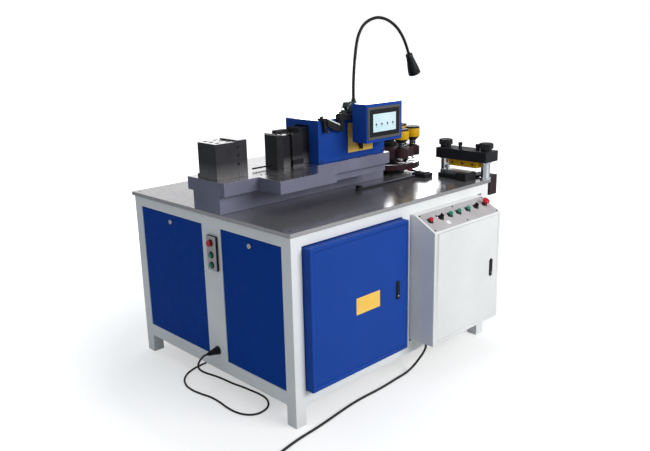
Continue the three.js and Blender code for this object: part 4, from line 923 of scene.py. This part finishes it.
def make_controls(on_slope):
    """The panel's plate with its screws, collars and caps, a small ring and a blank tag."""
    node = "cabinet_body"

    def plate(name, look, left, right, low, high, lift, thick, bevel):
        corners = [on_slope(across, up, lift) for across, up in (
            (left, low), (right, low), (right, high), (left, high))]
        Shape().prism(corners, SLOPE_NORMAL * thick).piece(name, look, node, bevel)

    plate("control_plate", "plate_grey", 0.022, 0.978, 0.05, 0.95, 0, 1.2, 0.5)
    screw_set("control_plate_screws", "black_oxide", node, [
        on_slope(across, up, 1.1) for across in (0.032, 0.5, 0.968) for up in (0.12, 0.88)], SLOPE_NORMAL, 4.2, 2.6)
    collars, rings = Shape(), Shape()
    for cap, across in CONTROLS_ACROSS.items():
        base = on_slope(across, CONTROL_UP)
        rings.turned(base, SLOPE_NORMAL, CONTROL_RING)
        collars.turned(base, SLOPE_NORMAL, CONTROL_COLLAR)
        if cap in ("mains_switch", "selector_knob"):
            shape = Shape().turned(base, SLOPE_NORMAL, TURNING_CAP)
            lever, side = UP_SLOPE * LEVER_REACH, X * LEVER_HALF
            start = base + SLOPE_NORMAL * LEVER_START
            shape.prism([start - lever - side * 0.7, start - lever + side * 0.7, start + side,
                         start + lever + side * 0.55, start + lever - side * 0.55, start - side],
                        SLOPE_NORMAL * LEVER_HEIGHT)
            shape.piece(cap + "_shape", SLOT_OF[cap], cap, stands=True)
        else:
            profile = MUSHROOM_CAP if cap == "emergency_stop" else FLUSH_CAP
            lathe(cap + "_shape", SLOT_OF[cap], cap, base, SLOPE_NORMAL, profile, stands=True, sharp=45)
    rings.turned(on_slope(CONTROLS_ACROSS["mains_switch"] - 0.034, CONTROL_UP + 0.1), SLOPE_NORMAL, INDICATOR)
    collars.piece("control_collars", "black_plastic", node)
    rings.piece("indicator_ring", "bright_steel", node)
    plate("control_tag", "label_white", 0.246, 0.292, 0.2, 0.36, 1, 1, 0.3)


def make_gland():
    """The cable gland under the cabinet, with its ribbed strain relief."""
    rings = [(15, 0), (15, 8), (13, 8.4)]
    for rib in range(5):
        radius, place = 12.2 - rib * 1.1, 9 + rib * 4.4
        rings += [(radius, place), (radius, place + 2.4), (radius * 0.84, place + 2.8), (radius * 0.84, place + 4)]
    lathe("mains_gland", "black_plastic", "cabinet_body", (*MAINS_POINTS[0][:2], CABINET_FLOOR + 2), -Z,
          rings + [(6.5, 32)])


make_toolbox()
make_controls(make_cabinet())
make_gland()


# ---------------- press bed and tools
GROOVE_LINE, GROOVE_HALF, GROOVE_DEPTH = 70.5, 46, 34
DIE_BOLT_RING = [(14.5, -0.2), (14.5, 0.35), (13.2, 0.4), (13, -0.5)]
RAM_FRONT, RAM_BACK = 500.5, 642.5
RAM_TOP, GUIDE_TOP = 165.5, 185.5  # above the ram's foot
ROD_START, ROD_LINE, ROD_RADIUS, ROD_DROP = 765, 571, 42, 74


def make_die():
    """The die block and its grooved plate, with the bolts that hold them and two screws in the bed."""
    low, high = span("die_block")
    plate_low, plate_high = span("die_plate")
    screw_set("bed_screws", "black_oxide", "bed", [
        (high.x + gap, low.y - 35, low.z - 0.6) for gap in (105, 135)], Z, 5, 1.6)
    dress("die_plate", 1.2, "die_steel", top="ground_steel")
    middle = low.y + GROOVE_LINE
    outline = [(low.x, low.y), (high.x, low.y), (high.x, middle - GROOVE_HALF), (high.x - GROOVE_DEPTH, middle),
               (high.x, middle + GROOVE_HALF), (high.x, plate_high.y), (low.x, plate_high.y)]
    Shape().prism([(x, y, low.z) for x, y in outline], Z * (high.z - low.z)).piece(
        "die_block_shape", "die_steel", "die_block", 1.5, stands=True, top="ground_steel")
    block("die_foot", "black_oxide", "die_block", (low.x, plate_high.y - 1, low.z), (high.x, high.y, low.z + 20), 1.5)
    places = [Vector((low.x + (high.x - low.x) * share, low.y + (plate_high.y - plate_low.y) * row, high.z))
              for row in (0.2, 0.55, 0.88) for share in (0.28, 0.72)]
    rings = Shape()
    for place in places:
        rings.turned(place, Z, DIE_BOLT_RING)
    rings.piece("die_bolt_rings", "bright_steel", "die_block")
    screw_set("die_bolts", "black_oxide", "die_block", [place - Z * 0.4 for place in places], Z, 12.6, 1.2)
    screw_set("die_seam_bolts", "lamp_black", "die_block", [
        (high.x + 0.4, low.y, low.z + (high.z - low.z) * share) for share in (0.84, 0.61, 0.385)], -Y, 8.5, 1.5)


def make_ram_head():
    """The ram: a front and a middle block joined by a waist, and a narrow guide that runs into the cover."""
    low, high = span("ram_head")
    floor, top = low.z, low.z + RAM_TOP

    def part(name, left, right, inset=0.0, height=RAM_TOP, face=None):
        block(name, "ram_steel", "ram_head", (left, RAM_FRONT + inset, floor),
              (right, RAM_BACK - inset, floor + height), 1.5, top=face)

    part("ram_front", 413.3, 453, face="ground_steel")
    part("ram_waist", 450, 477, inset=12, height=RAM_TOP - 14)
    part("ram_middle", 474, 546, face="ground_steel")
    part("ram_shoe", 474, 546, inset=-4, height=35.5)
    part("ram_guide", 543, 770, inset=22.5, height=GUIDE_TOP)
    block("ram_strip", "black_oxide", "ram_head", (457, RAM_BACK - 42, top - 16), (538, RAM_BACK - 8, top + 10), 1.5)
    lathe("ram_rod", "bright_steel", "ram_head", (ROD_START, ROD_LINE, span("bend_cylinder")[1].z - ROD_DROP), X, [
        (ROD_RADIUS, 0), (ROD_RADIUS, high.x - ROD_START - 2), (ROD_RADIUS - 2, high.x - ROD_START)], stands=True)
    bolts = Shape()
    for share in (0.2, 0.5, 0.8):
        socket_screw(bolts, (510, RAM_FRONT + 0.6, floor + RAM_TOP * share), -Y, 5, 1.2)
    for share in (0.25, 0.6):
        for x in (433, 505):
            socket_screw(bolts, (x, RAM_FRONT + (RAM_BACK - RAM_FRONT) * share, top - 0.6), Z, 8, 1.6)
    socket_screw(bolts, (590, 590, floor + GUIDE_TOP - 1), Z, 8, 4)
    bolts.piece("ram_bolts", "lamp_black", "ram_head")


dress("bed", 1.8, top="slab_steel")
make_die()
dress("punch_nose", 1.2)
make_ram_head()


# ---------------- press cover, screen, arm and lamp
COVER_SCREW_INSET = 12
COVER_LABEL_SPAN, COVER_LABEL_DROP = (217, 411), (190, 33)
SCREEN_DEPTH = 100
LAMP_PLACE = Vector((944, 520, 0))
LAMP_BASE_LENGTH, LAMP_BASE_HALF, LAMP_BASE_HEIGHT = 88, 24, 26
NECK_RISE_START = 75.3
NECK_SHARES = [
    (0, 0), (0, 0.115), (0.004, 0.24), (0.026, 0.484), (0.07, 0.725), (0.113, 0.826), (0.179, 0.911),
    (0.281, 0.97), (0.419, 1), (0.56, 0.981), (0.668, 0.937), (0.779, 0.862), (0.874, 0.756),
    (0.943, 0.639), (1, 0.512),
]
NECK_REACH, NECK_RISE, NECK_RADIUS, NECK_RIB_GAP, NECK_RIB = 470, 426, 8.5, 2.6, 0.9
NECK_COLLAR = [(12, 0), (12, 8), (10, 12), (9, 18)]
LAMP_SWITCH = [(9, -1), (9, 5), (8, 8), (4, 8.6)]
LAMP_BALL = [(8.5, 0), (13, 5), (15, 12), (13.5, 18), (8, 24)]
LAMP_BELL = [(18, -6), (20, -4), (20.5, 16), (21.5, 24), (25, 44), (29.5, 66), (33.5, 90), (36, 114), (36, 118),
             (33.5, 118), (33, 115), (29, 70), (20, 32), (8, 29)]
LAMP_BULB = [(9, 0), (11, 16), (19, 34), (23.5, 52), (23.5, 60), (19, 68), (8, 72)]
LAMP_SPRING_TURNS, LAMP_SPRING_STEPS, LAMP_SPRING_RADIUS, LAMP_SPRING_WIRE = 12, 10, 3.6, 1.0
ARM_LOCK = [(4, -1), (4, 4), (7, 6), (8.5, 10), (8, 14), (5, 17), (2, 18)]


def make_cover():
    """The press cover with its blank plate and its screws."""
    node = "ram_housing"
    low, high = span(node)
    # The cover's faces that look up take the painted sheen.
    dress(node, 3.5, segments=3, top="painted_sheen_blue_top")
    (left, right), (bottom, top) = COVER_LABEL_SPAN, COVER_LABEL_DROP
    block("cover_label", "label_yellow", node, (low.x + left, low.y - 0.6, high.z - bottom),
          (low.x + right, low.y + 1, high.z - top), 0.3)
    places = [(x, z) for x in (low.x + COVER_SCREW_INSET, high.x - COVER_SCREW_INSET)
              for z in (low.z + COVER_SCREW_INSET, low.z + 110)]
    places += [(low.x + (high.x - low.x) * share, low.z + 10) for share in (0.05, 0.35, 0.65, 0.95)]
    screw_set("cover_screws", "black_oxide", node, [(x, low.y + 0.5, z) for x, z in places], -Y, 4, 2.4)


def make_screen():
    """The operator's screen: a painted case, a grey bezel, a black border and a lit face."""
    node = "hmi_box"
    low, high = span(node)
    back, cover_face = low.y + SCREEN_DEPTH, span("ram_housing")[0].y
    # The screen case's faces that look up take the painted sheen.
    block("screen_box", "cover_blue", node, low, (high.x, back, high.z), 3, stands=True, segments=3, top="painted_sheen_blue_top")
    bezel_low, bezel_high = low + Vector((11, -4, 16)), Vector((high.x - 17, low.y + 2, high.z - 16))
    block("screen_bezel", "screen_case", node, bezel_low, bezel_high, 2, segments=3)
    border_low, border_high = bezel_low + Vector((9, -1, 14)), bezel_high + Vector((-9, -1, -13))
    block("screen_border", "lamp_black", node, border_low, border_high, 1.5)
    glass_low, glass_high = border_low + Vector((26, -0.8, 24)), border_high + Vector((-30, -3, -24))
    block("screen_glass", "screen_glow", node, glass_low, glass_high, 0.3)
    marks = Shape()
    for share in (0.13, 0.37, 0.62, 0.86):
        place = Vector((glass_low.x + (glass_high.x - glass_low.x) * share, glass_low.y - 0.2,
                        glass_low.z + (glass_high.z - glass_low.z) * 0.42))
        marks.turned(place, Y, [(6.5, 0), (6.5, 0.4)], 20)
        marks.turned(place - Z * 12, Y, [(2.2, 0), (2.2, 0.4)], 16)
    marks.piece("screen_marks", "screen_mark", node)
    block("screen_bracket", "black_oxide", node, (low.x + 80, back - 5, high.z - 175),
          (low.x + 248, cover_face - 0.3, high.z - 85), 2)
    foot = Vector((low.x + 88, cover_face - 24, low.z))
    Shape().prism([foot + Vector((x, 0, z)) for x, z in ((0, 60), (0, -10), (18, -52), (24, -52), (24, 60))],
                  Y * 23.5).piece("screen_support", "black_oxide", node, 2)


def smooth_line(points, steps):
    """Points along a centripetal Catmull-Rom line, as the CAD draws its curves."""
    line = []
    ends = [points[0] * 2 - points[1], *points, points[-1] * 2 - points[-2]]
    for four in zip(ends, ends[1:], ends[2:], ends[3:]):
        knots = [0.0]
        for a, b in zip(four, four[1:]):
            knots.append(knots[-1] + math.sqrt((b - a).length))
        for step in range(steps):
            place = knots[1] + (knots[2] - knots[1]) * step / steps
            row = four
            for pairs in (((0, 1), (1, 2), (2, 3)), ((0, 2), (1, 3)), ((1, 2),)):
                row = [row[index].lerp(row[index + 1], (place - knots[a]) / (knots[b] - knots[a]))
                       for index, (a, b) in enumerate(pairs)]
            line.append(row[0])
    return line + [points[-1]]


def evenly(line, gap):
    """The same line with points a fixed distance apart."""
    spaced, left = [line[0]], gap
    for a, b in zip(line, line[1:]):
        step = (b - a).length
        travelled = 0.0
        while travelled + left <= step:
            travelled += left
            spaced.append(a.lerp(b, travelled / step))
            left = gap
        left -= step - travelled
    spaced.append(line[-1])
    return spaced


def make_lamp():
    """The work lamp: its base with bracket and springs, the ribbed gooseneck, the ball and the bell."""
    node = "lamp_neck"
    foot = span("ram_housing")[1].z
    start = LAMP_PLACE + Z * (foot + NECK_RISE_START)
    points = [start + X * (NECK_REACH * along) + Z * (NECK_RISE * up) for along, up in NECK_SHARES]
    Shape().tube(evenly(smooth_line(points, 16), NECK_RIB_GAP), NECK_RADIUS, 16, NECK_RIB).piece(
        "lamp_gooseneck", "lamp_black", node, stands=True, sharp=60)
    right, top = start.x + NECK_RADIUS, start.z - 6
    left, near, far = right - LAMP_BASE_LENGTH, start.y - LAMP_BASE_HALF, start.y + LAMP_BASE_HALF
    block("lamp_base", "lamp_green", node, (left, near, foot + 0.3), (right, far, foot + LAMP_BASE_HEIGHT), 4,
          segments=3)
    outline = [(left + 26, foot + 24), (left + 6, foot + 44), (left + 14, foot + 66), (right, top), (right, foot + 24)]
    Shape().prism([(x, near + 8, z) for x, z in outline], Y * 32).piece("lamp_bracket", "lamp_green", node, 3)
    for name, y in (("lamp_spring_near", near + 3), ("lamp_spring_far", far - 3)):
        spring(name, node, Vector((left + 8, y, foot + 34)), Vector((left + 44, y, top - 3)),
               (X - Z) * (LAMP_SPRING_RADIUS * 0.6), Y * LAMP_SPRING_RADIUS,
               LAMP_SPRING_TURNS, LAMP_SPRING_STEPS, LAMP_SPRING_WIRE, 8)
    lathe("lamp_neck_collar", "lamp_black", node, start - Z * 7, Z, NECK_COLLAR)
    lathe("lamp_switch", "black_plastic", node, (left + 20, near, foot + 14), -Y, LAMP_SWITCH)
    tip = points[-1]
    ahead = (tip - points[-2]).normalized()
    lathe("lamp_ball", "lamp_black", node, tip - ahead * 13, ahead, LAMP_BALL)
    lathe("lamp_bell", "lamp_black", "lamp_head", tip, ahead, LAMP_BELL, stands=True, sharp=50)
    lathe("lamp_bulb", "bulb", "lamp_head", tip + ahead * 30, ahead, LAMP_BULB, sharp=60)


def make_screen_arm():
    """The black jointed arm beside the screen, clamped on the cover's front top edge."""
    node = "ram_housing"
    front = span(node)[0].y

    def bar(name, points, near, far, look="black_oxide", bevel=1.8):
        Shape().prism([(x, front + near, z) for x, z in points], Y * (far - near)).piece(name, look, node, bevel)

    bar("arm_clamp_top", [(620, 1296.6), (620, 1306), (652, 1306), (652, 1296.6)], -22, 22)
    bar("arm_clamp", [(636, 1234), (626, 1300), (652, 1300), (650, 1234)], -22, -0.4)
    bar("arm_link", [(646, 1300), (762, 1252), (762, 1228), (700, 1240), (646, 1268)], -30, -8)
    # Painted highlight: a thin white strip along the top of the link. It stands for the light that its top face
    # reflects.
    bar("arm_link_painted_highlight", [(658, 1302), (732, 1270), (732, 1264), (656, 1296)], -32, -10, "label_white", 0.6)
    bar("arm_post", [(734, 1322), (762, 1322), (762, 1246), (740, 1256), (734, 1256)], -34, -6)
    bar("arm_head", [(728, 1290), (728, 1318), (836, 1312), (836, 1282)], -40, -2)
    knobs = Shape()
    for x, y, z, radius in ((624, -4, 1305.5, 7), (644, 8, 1305.5, 7), (744, -20, 1321, 6), (772, -20, 1314.5, 6)):
        knobs.turned((x, front + y, z), Z, [
            (radius * 0.6, 0), (radius * 0.6, 3), (radius, 4), (radius, 9), (radius * 0.8, 11)], 20)
    knobs.piece("arm_knobs", "black_plastic", node)
    lathe("arm_lock", "lamp_green", node, (643, front - 20, 1238), -Y, ARM_LOCK, 32, sharp=70)
    screw_set("arm_pins", "black_oxide", node, [(650, front - 30, 1284), (748, front - 30, 1246)], -Y, 9, 4)


make_cover()
make_screen()
make_lamp()
make_screen_arm()


# ---------------- turret punch
STATIONS = 6
LOBE_RADIUS = SLEEVE_RADIUS = 43
DISC_RADIUS = 152
TURRET_PITCH = 140
BOLT_PITCH = 118
FIRST_ANGLE = math.radians(-48)
TURRET_CENTRE = Vector((1325, 597, 0))
STATION_ANGLES = [FIRST_ANGLE + math.tau * index / STATIONS for index in range(STATIONS)]
OUTLINE_STEPS = 216
UPPER_DISC_THICK = 52
BORE_REACH = 5
DIE_INSERT = [(26, 0), (26, 1.2), (25, 1.5), (10, 1.5), (9.6, 0.2)]
STATION_BOSS = [(31, 0), (31, 4), (29.5, 5), (25, 5), (24.8, 0)]
SLEEVE_HEIGHT, CAP_HEIGHT = 50, 10
PUNCH_SLEEVE = [(36, -1), (SLEEVE_RADIUS - 1.5, 0.5), (SLEEVE_RADIUS, 2.4), (SLEEVE_RADIUS, 47.5),
                (SLEEVE_RADIUS - 1, 49.4), (34, SLEEVE_HEIGHT)]
PUNCH_CAP = [(SLEEVE_RADIUS - 2, 0), (SLEEVE_RADIUS - 1, 1.4), (SLEEVE_RADIUS - 1, 9), (SLEEVE_RADIUS - 3, 11),
             (16, 11), (15, 9.6), (4, 9.6)]
PUNCH_COLLAR = [(23.6, -16), (26, -13), (SLEEVE_RADIUS - 3, 0), (SLEEVE_RADIUS - 2, 3), (34, 4)]
SPRING_TURNS, SPRING_STEPS, SPRING_RADIUS, SPRING_WIRE = 4, 20, 20.5, 2.4


def station_place(angle, z, pitch=TURRET_PITCH):
    return TURRET_CENTRE + Vector((math.cos(angle), math.sin(angle), 0)) * pitch + Z * z


def lobed_outline(z):
    """The outline of a disc with a round lobe at each station."""
    points = []
    for index in range(OUTLINE_STEPS):
        angle = math.tau * index / OUTLINE_STEPS
        reach = DISC_RADIUS
        for lobe in STATION_ANGLES:
            along, offset = math.cos(angle - lobe), math.sin(angle - lobe) * TURRET_PITCH
            if along > 0 and abs(offset) < LOBE_RADIUS:
                reach = max(reach, along * TURRET_PITCH + math.sqrt(LOBE_RADIUS ** 2 - offset ** 2))
        points.append(station_place(angle, z, reach))
    return points


def at_stations(name, look, node, z, rings, sides=ROUND):
    """One piece with the same turned form at every station."""
    shape = Shape()
    for angle in STATION_ANGLES:
        shape.turned(station_place(angle, z), Z, rings, sides)
    return shape.piece(name, look, node)


def bore(piece, node, bottom, top, radius):
    """Opens a hole through a piece at every station."""
    carve(piece, at_stations(node + "_bores", "turret_brown", node, bottom - BORE_REACH, [
        (radius, 0), (radius, top - bottom + 2 * BORE_REACH)], SMALL_ROUND))


def make_turret():
    """The turret: the die disc with its inserts, the lobed punch disc with its hub and bosses, and the shaft."""
    node = "turret_lower_disc"
    low, high = span(node)
    plain = TURRET_PITCH + LOBE_RADIUS - 0.5
    lower = lathe("lower_disc", "turret_brown", node, TURRET_CENTRE + Z * low.z, Z, [
        (plain, 0), (plain, high.z - low.z)], 120, bevel=4, stands=True, segments=3, top="ground_steel")
    bore(lower, node, low.z, high.z, 9.8)
    bore(at_stations("die_inserts", "bright_steel", node, high.z - 1, DIE_INSERT), node, low.z, high.z, 9.7)
    node = "turret_upper_disc"
    low, high = span(node)
    disc_bottom, disc_top = high.z - UPPER_DISC_THICK, high.z
    upper = Shape().prism(lobed_outline(disc_bottom), Z * UPPER_DISC_THICK).piece(
        "upper_disc", "turret_brown", node, 2.5, stands=True)
    bore(upper, node, disc_bottom, disc_top, 24.2)
    lathe("turret_hub", "turret_brown", node, TURRET_CENTRE + Z * low.z, Z, [
        (52, 0), (55, 2), (55, disc_bottom - low.z + 1)])
    at_stations("station_bosses", "turret_brown", node, disc_top - 0.5, STATION_BOSS)
    screw_set("turret_bolts", "black_oxide", node, [
        station_place(angle + math.pi / STATIONS, disc_top - 0.3, BOLT_PITCH) for angle in STATION_ANGLES], Z, 7, 6)
    low, high = span("turret_pedestal")
    nut, top = disc_top - low.z, high.z - low.z
    lathe("turret_shaft", "black_oxide", "turret_pedestal", TURRET_CENTRE + Z * low.z, Z, [
        (92, 0), (92, 9), (90.5, 10.6), (33.6, 10.7), (33.6, nut + 0.6), (48, nut + 0.7), (48, nut + 22),
        (46, nut + 24), (34, nut + 24.2), (34, top - 2), (32, top), (14, top), (14, top - 6)], stands=True)


def make_punch(node, angle):
    """One punch: its yellow sleeve, cap and collar, the body and the tip, and the turret's spring round it."""
    low, high = span(node)
    disc_top = span("turret_upper_disc")[1].z
    sleeve_top = high.z - CAP_HEIGHT
    sleeve_bottom = sleeve_top - SLEEVE_HEIGHT

    def part(name, look, z, rings, **finish):
        lathe(f"{node}_{name}", look, node, station_place(angle, z), Z, rings, **finish)

    part("sleeve", "sleeve_yellow", sleeve_bottom, PUNCH_SLEEVE, stands=True)
    part("cap", "black_oxide", sleeve_top - 1, PUNCH_CAP)
    part("collar", "black_oxide", sleeve_bottom - 3, PUNCH_COLLAR)
    spring(f"{node}_spring", "turret_upper_disc", station_place(angle, disc_top + 7),
           station_place(angle, sleeve_bottom - 9), X * SPRING_RADIUS, Y * SPRING_RADIUS,
           SPRING_TURNS, SPRING_STEPS, SPRING_WIRE, 10)
    part("body", "black_oxide", disc_top - 34, [
        (23.4, 0), (23.4, 37), (16, 38), (16, sleeve_bottom - disc_top + 30)])
    part("tip", "bright_steel", low.z, [(8, 0), (9, 1), (9, disc_top - low.z - 32)])


make_turret()
for station_number, station_angle in enumerate(STATION_ANGLES, 1):
    make_punch(f"punch_{station_number}", station_angle)


# ---------------- shear and fence
BEAM_THICK = 58
SIDE_BOX_START = 1496
NUT_RADIUS = 68 / math.sqrt(3)
CLAMP_SCREW_SHARES = (0.205, 0.63)
LEVER_END = Vector((1318, 451, 946))
CLAMP_LEVER = [(5.5, 0), (5.5, 62), (7, 64), (7, 72)]
CLAMP_GRIP = [(7.6, 72), (8.6, 78), (8.6, 104), (6, 110)]


def make_column(node, beam_low, beam_top):
    """One column of the shear: the rod with its collar, a washer, a neck and a hexagon nut on the beam."""
    low, high = span(node)

    def part(name, look, z, rings, **finish):
        lathe(f"{node}_{name}", look, node, ((low.x + high.x) / 2, (low.y + high.y) / 2, z), Z, rings, **finish)

    part("rod", "column_steel", low.z, [
        (31, 0), (31, 8), (29.5, 10), (25, 10), (25, beam_top - low.z)], stands=True)
    part("washer", "bright_steel", beam_low - 8, [(25.4, 0), (33, 0.4), (33, 6), (32, 7.8)])
    part("neck", "black_oxide", beam_top + 0.2, [(30, 0), (30, 12.4)])
    part("nut", "black_oxide", beam_top + 12.3, [
        (NUT_RADIUS * 0.9, 0), (NUT_RADIUS, 2, 6), (NUT_RADIUS, 27, 6), (NUT_RADIUS * 0.9, 30.6), (26, 30.7),
        (25, 28), (24.6, 28), (12, 28.2)])
    return (low + high) / 2


def make_shear():
    """The shear: beam, columns, blade holder and base, with the bolts that are seen."""
    low, high = span("crosshead")
    beam_top = low.z + BEAM_THICK
    block("crosshead_beam", "black_oxide", "crosshead", low, (high.x, high.y, beam_top), 2.5, stands=True, segments=3)
    front = make_column("tie_column_front", low.z, beam_top)
    rear = make_column("tie_column_rear", low.z, beam_top)
    bolts = Shape()
    for share in CLAMP_SCREW_SHARES:
        place = Vector((front.x, front.y + (rear.y - front.y) * share, beam_top - 0.5))
        bolts.turned(place, Z, [(9, 0), (9, 17)], 24)
        hex_head(bolts, place + Z * 16.5, Z, 12, 17)
        bolts.turned(place, Z, [(13, 0), (13, 4.5), (12, 5)], 30)
    bolts.piece("crosshead_bolts", "black_oxide", "crosshead")
    low, high = span("blade_holder")
    block("blade_holder_shape", "holder_olive", "blade_holder", low, high, 2, stands=True)
    screw_set("blade_holder_screws", "black_oxide", "blade_holder", [
        (low.x + 0.5, low.y + (high.y - low.y) * share, (low.z + high.z) / 2) for share in (0.15, 0.5, 0.85)],
        -X, 6, 2.4)
    dress("shear_base", 1.5, end=("brown_plate", at(SIDE_BOX_START, 0, 0).x))
    block("lower_blade_shape", "bright_steel", "lower_blade", *span("lower_blade"), 0.8, stands=True)


def make_fence():
    """The flat length fence, its clamp beside the shear, the clamp's lever and the sliding stop."""
    node = "fence_bar"
    dress(node, 1.2, top="bed_steel")
    dress("fence_stop", 1.2)
    low, high = span(node)
    screw_set("clamp_screws", "black_oxide", node, [
        (x, y, high.z - 0.5) for x in (high.x - 52, high.x - 16) for y in (low.y + 18, high.y - 14)], Z, 7, 7)
    block("clamp_bridge", "black_oxide", node, (high.x - 66, low.y + 6, high.z - 1),
          (high.x - 34, high.y - 24, high.z + 9), 2)
    pivot = Vector((high.x - 46, high.y - 30, high.z + 4))
    lathe("clamp_lever", "black_oxide", node, pivot, LEVER_END - pivot, CLAMP_LEVER, 20)
    lathe("clamp_grip", "handle_red", node, pivot, LEVER_END - pivot, CLAMP_GRIP, 24)


make_shear()
make_fence()
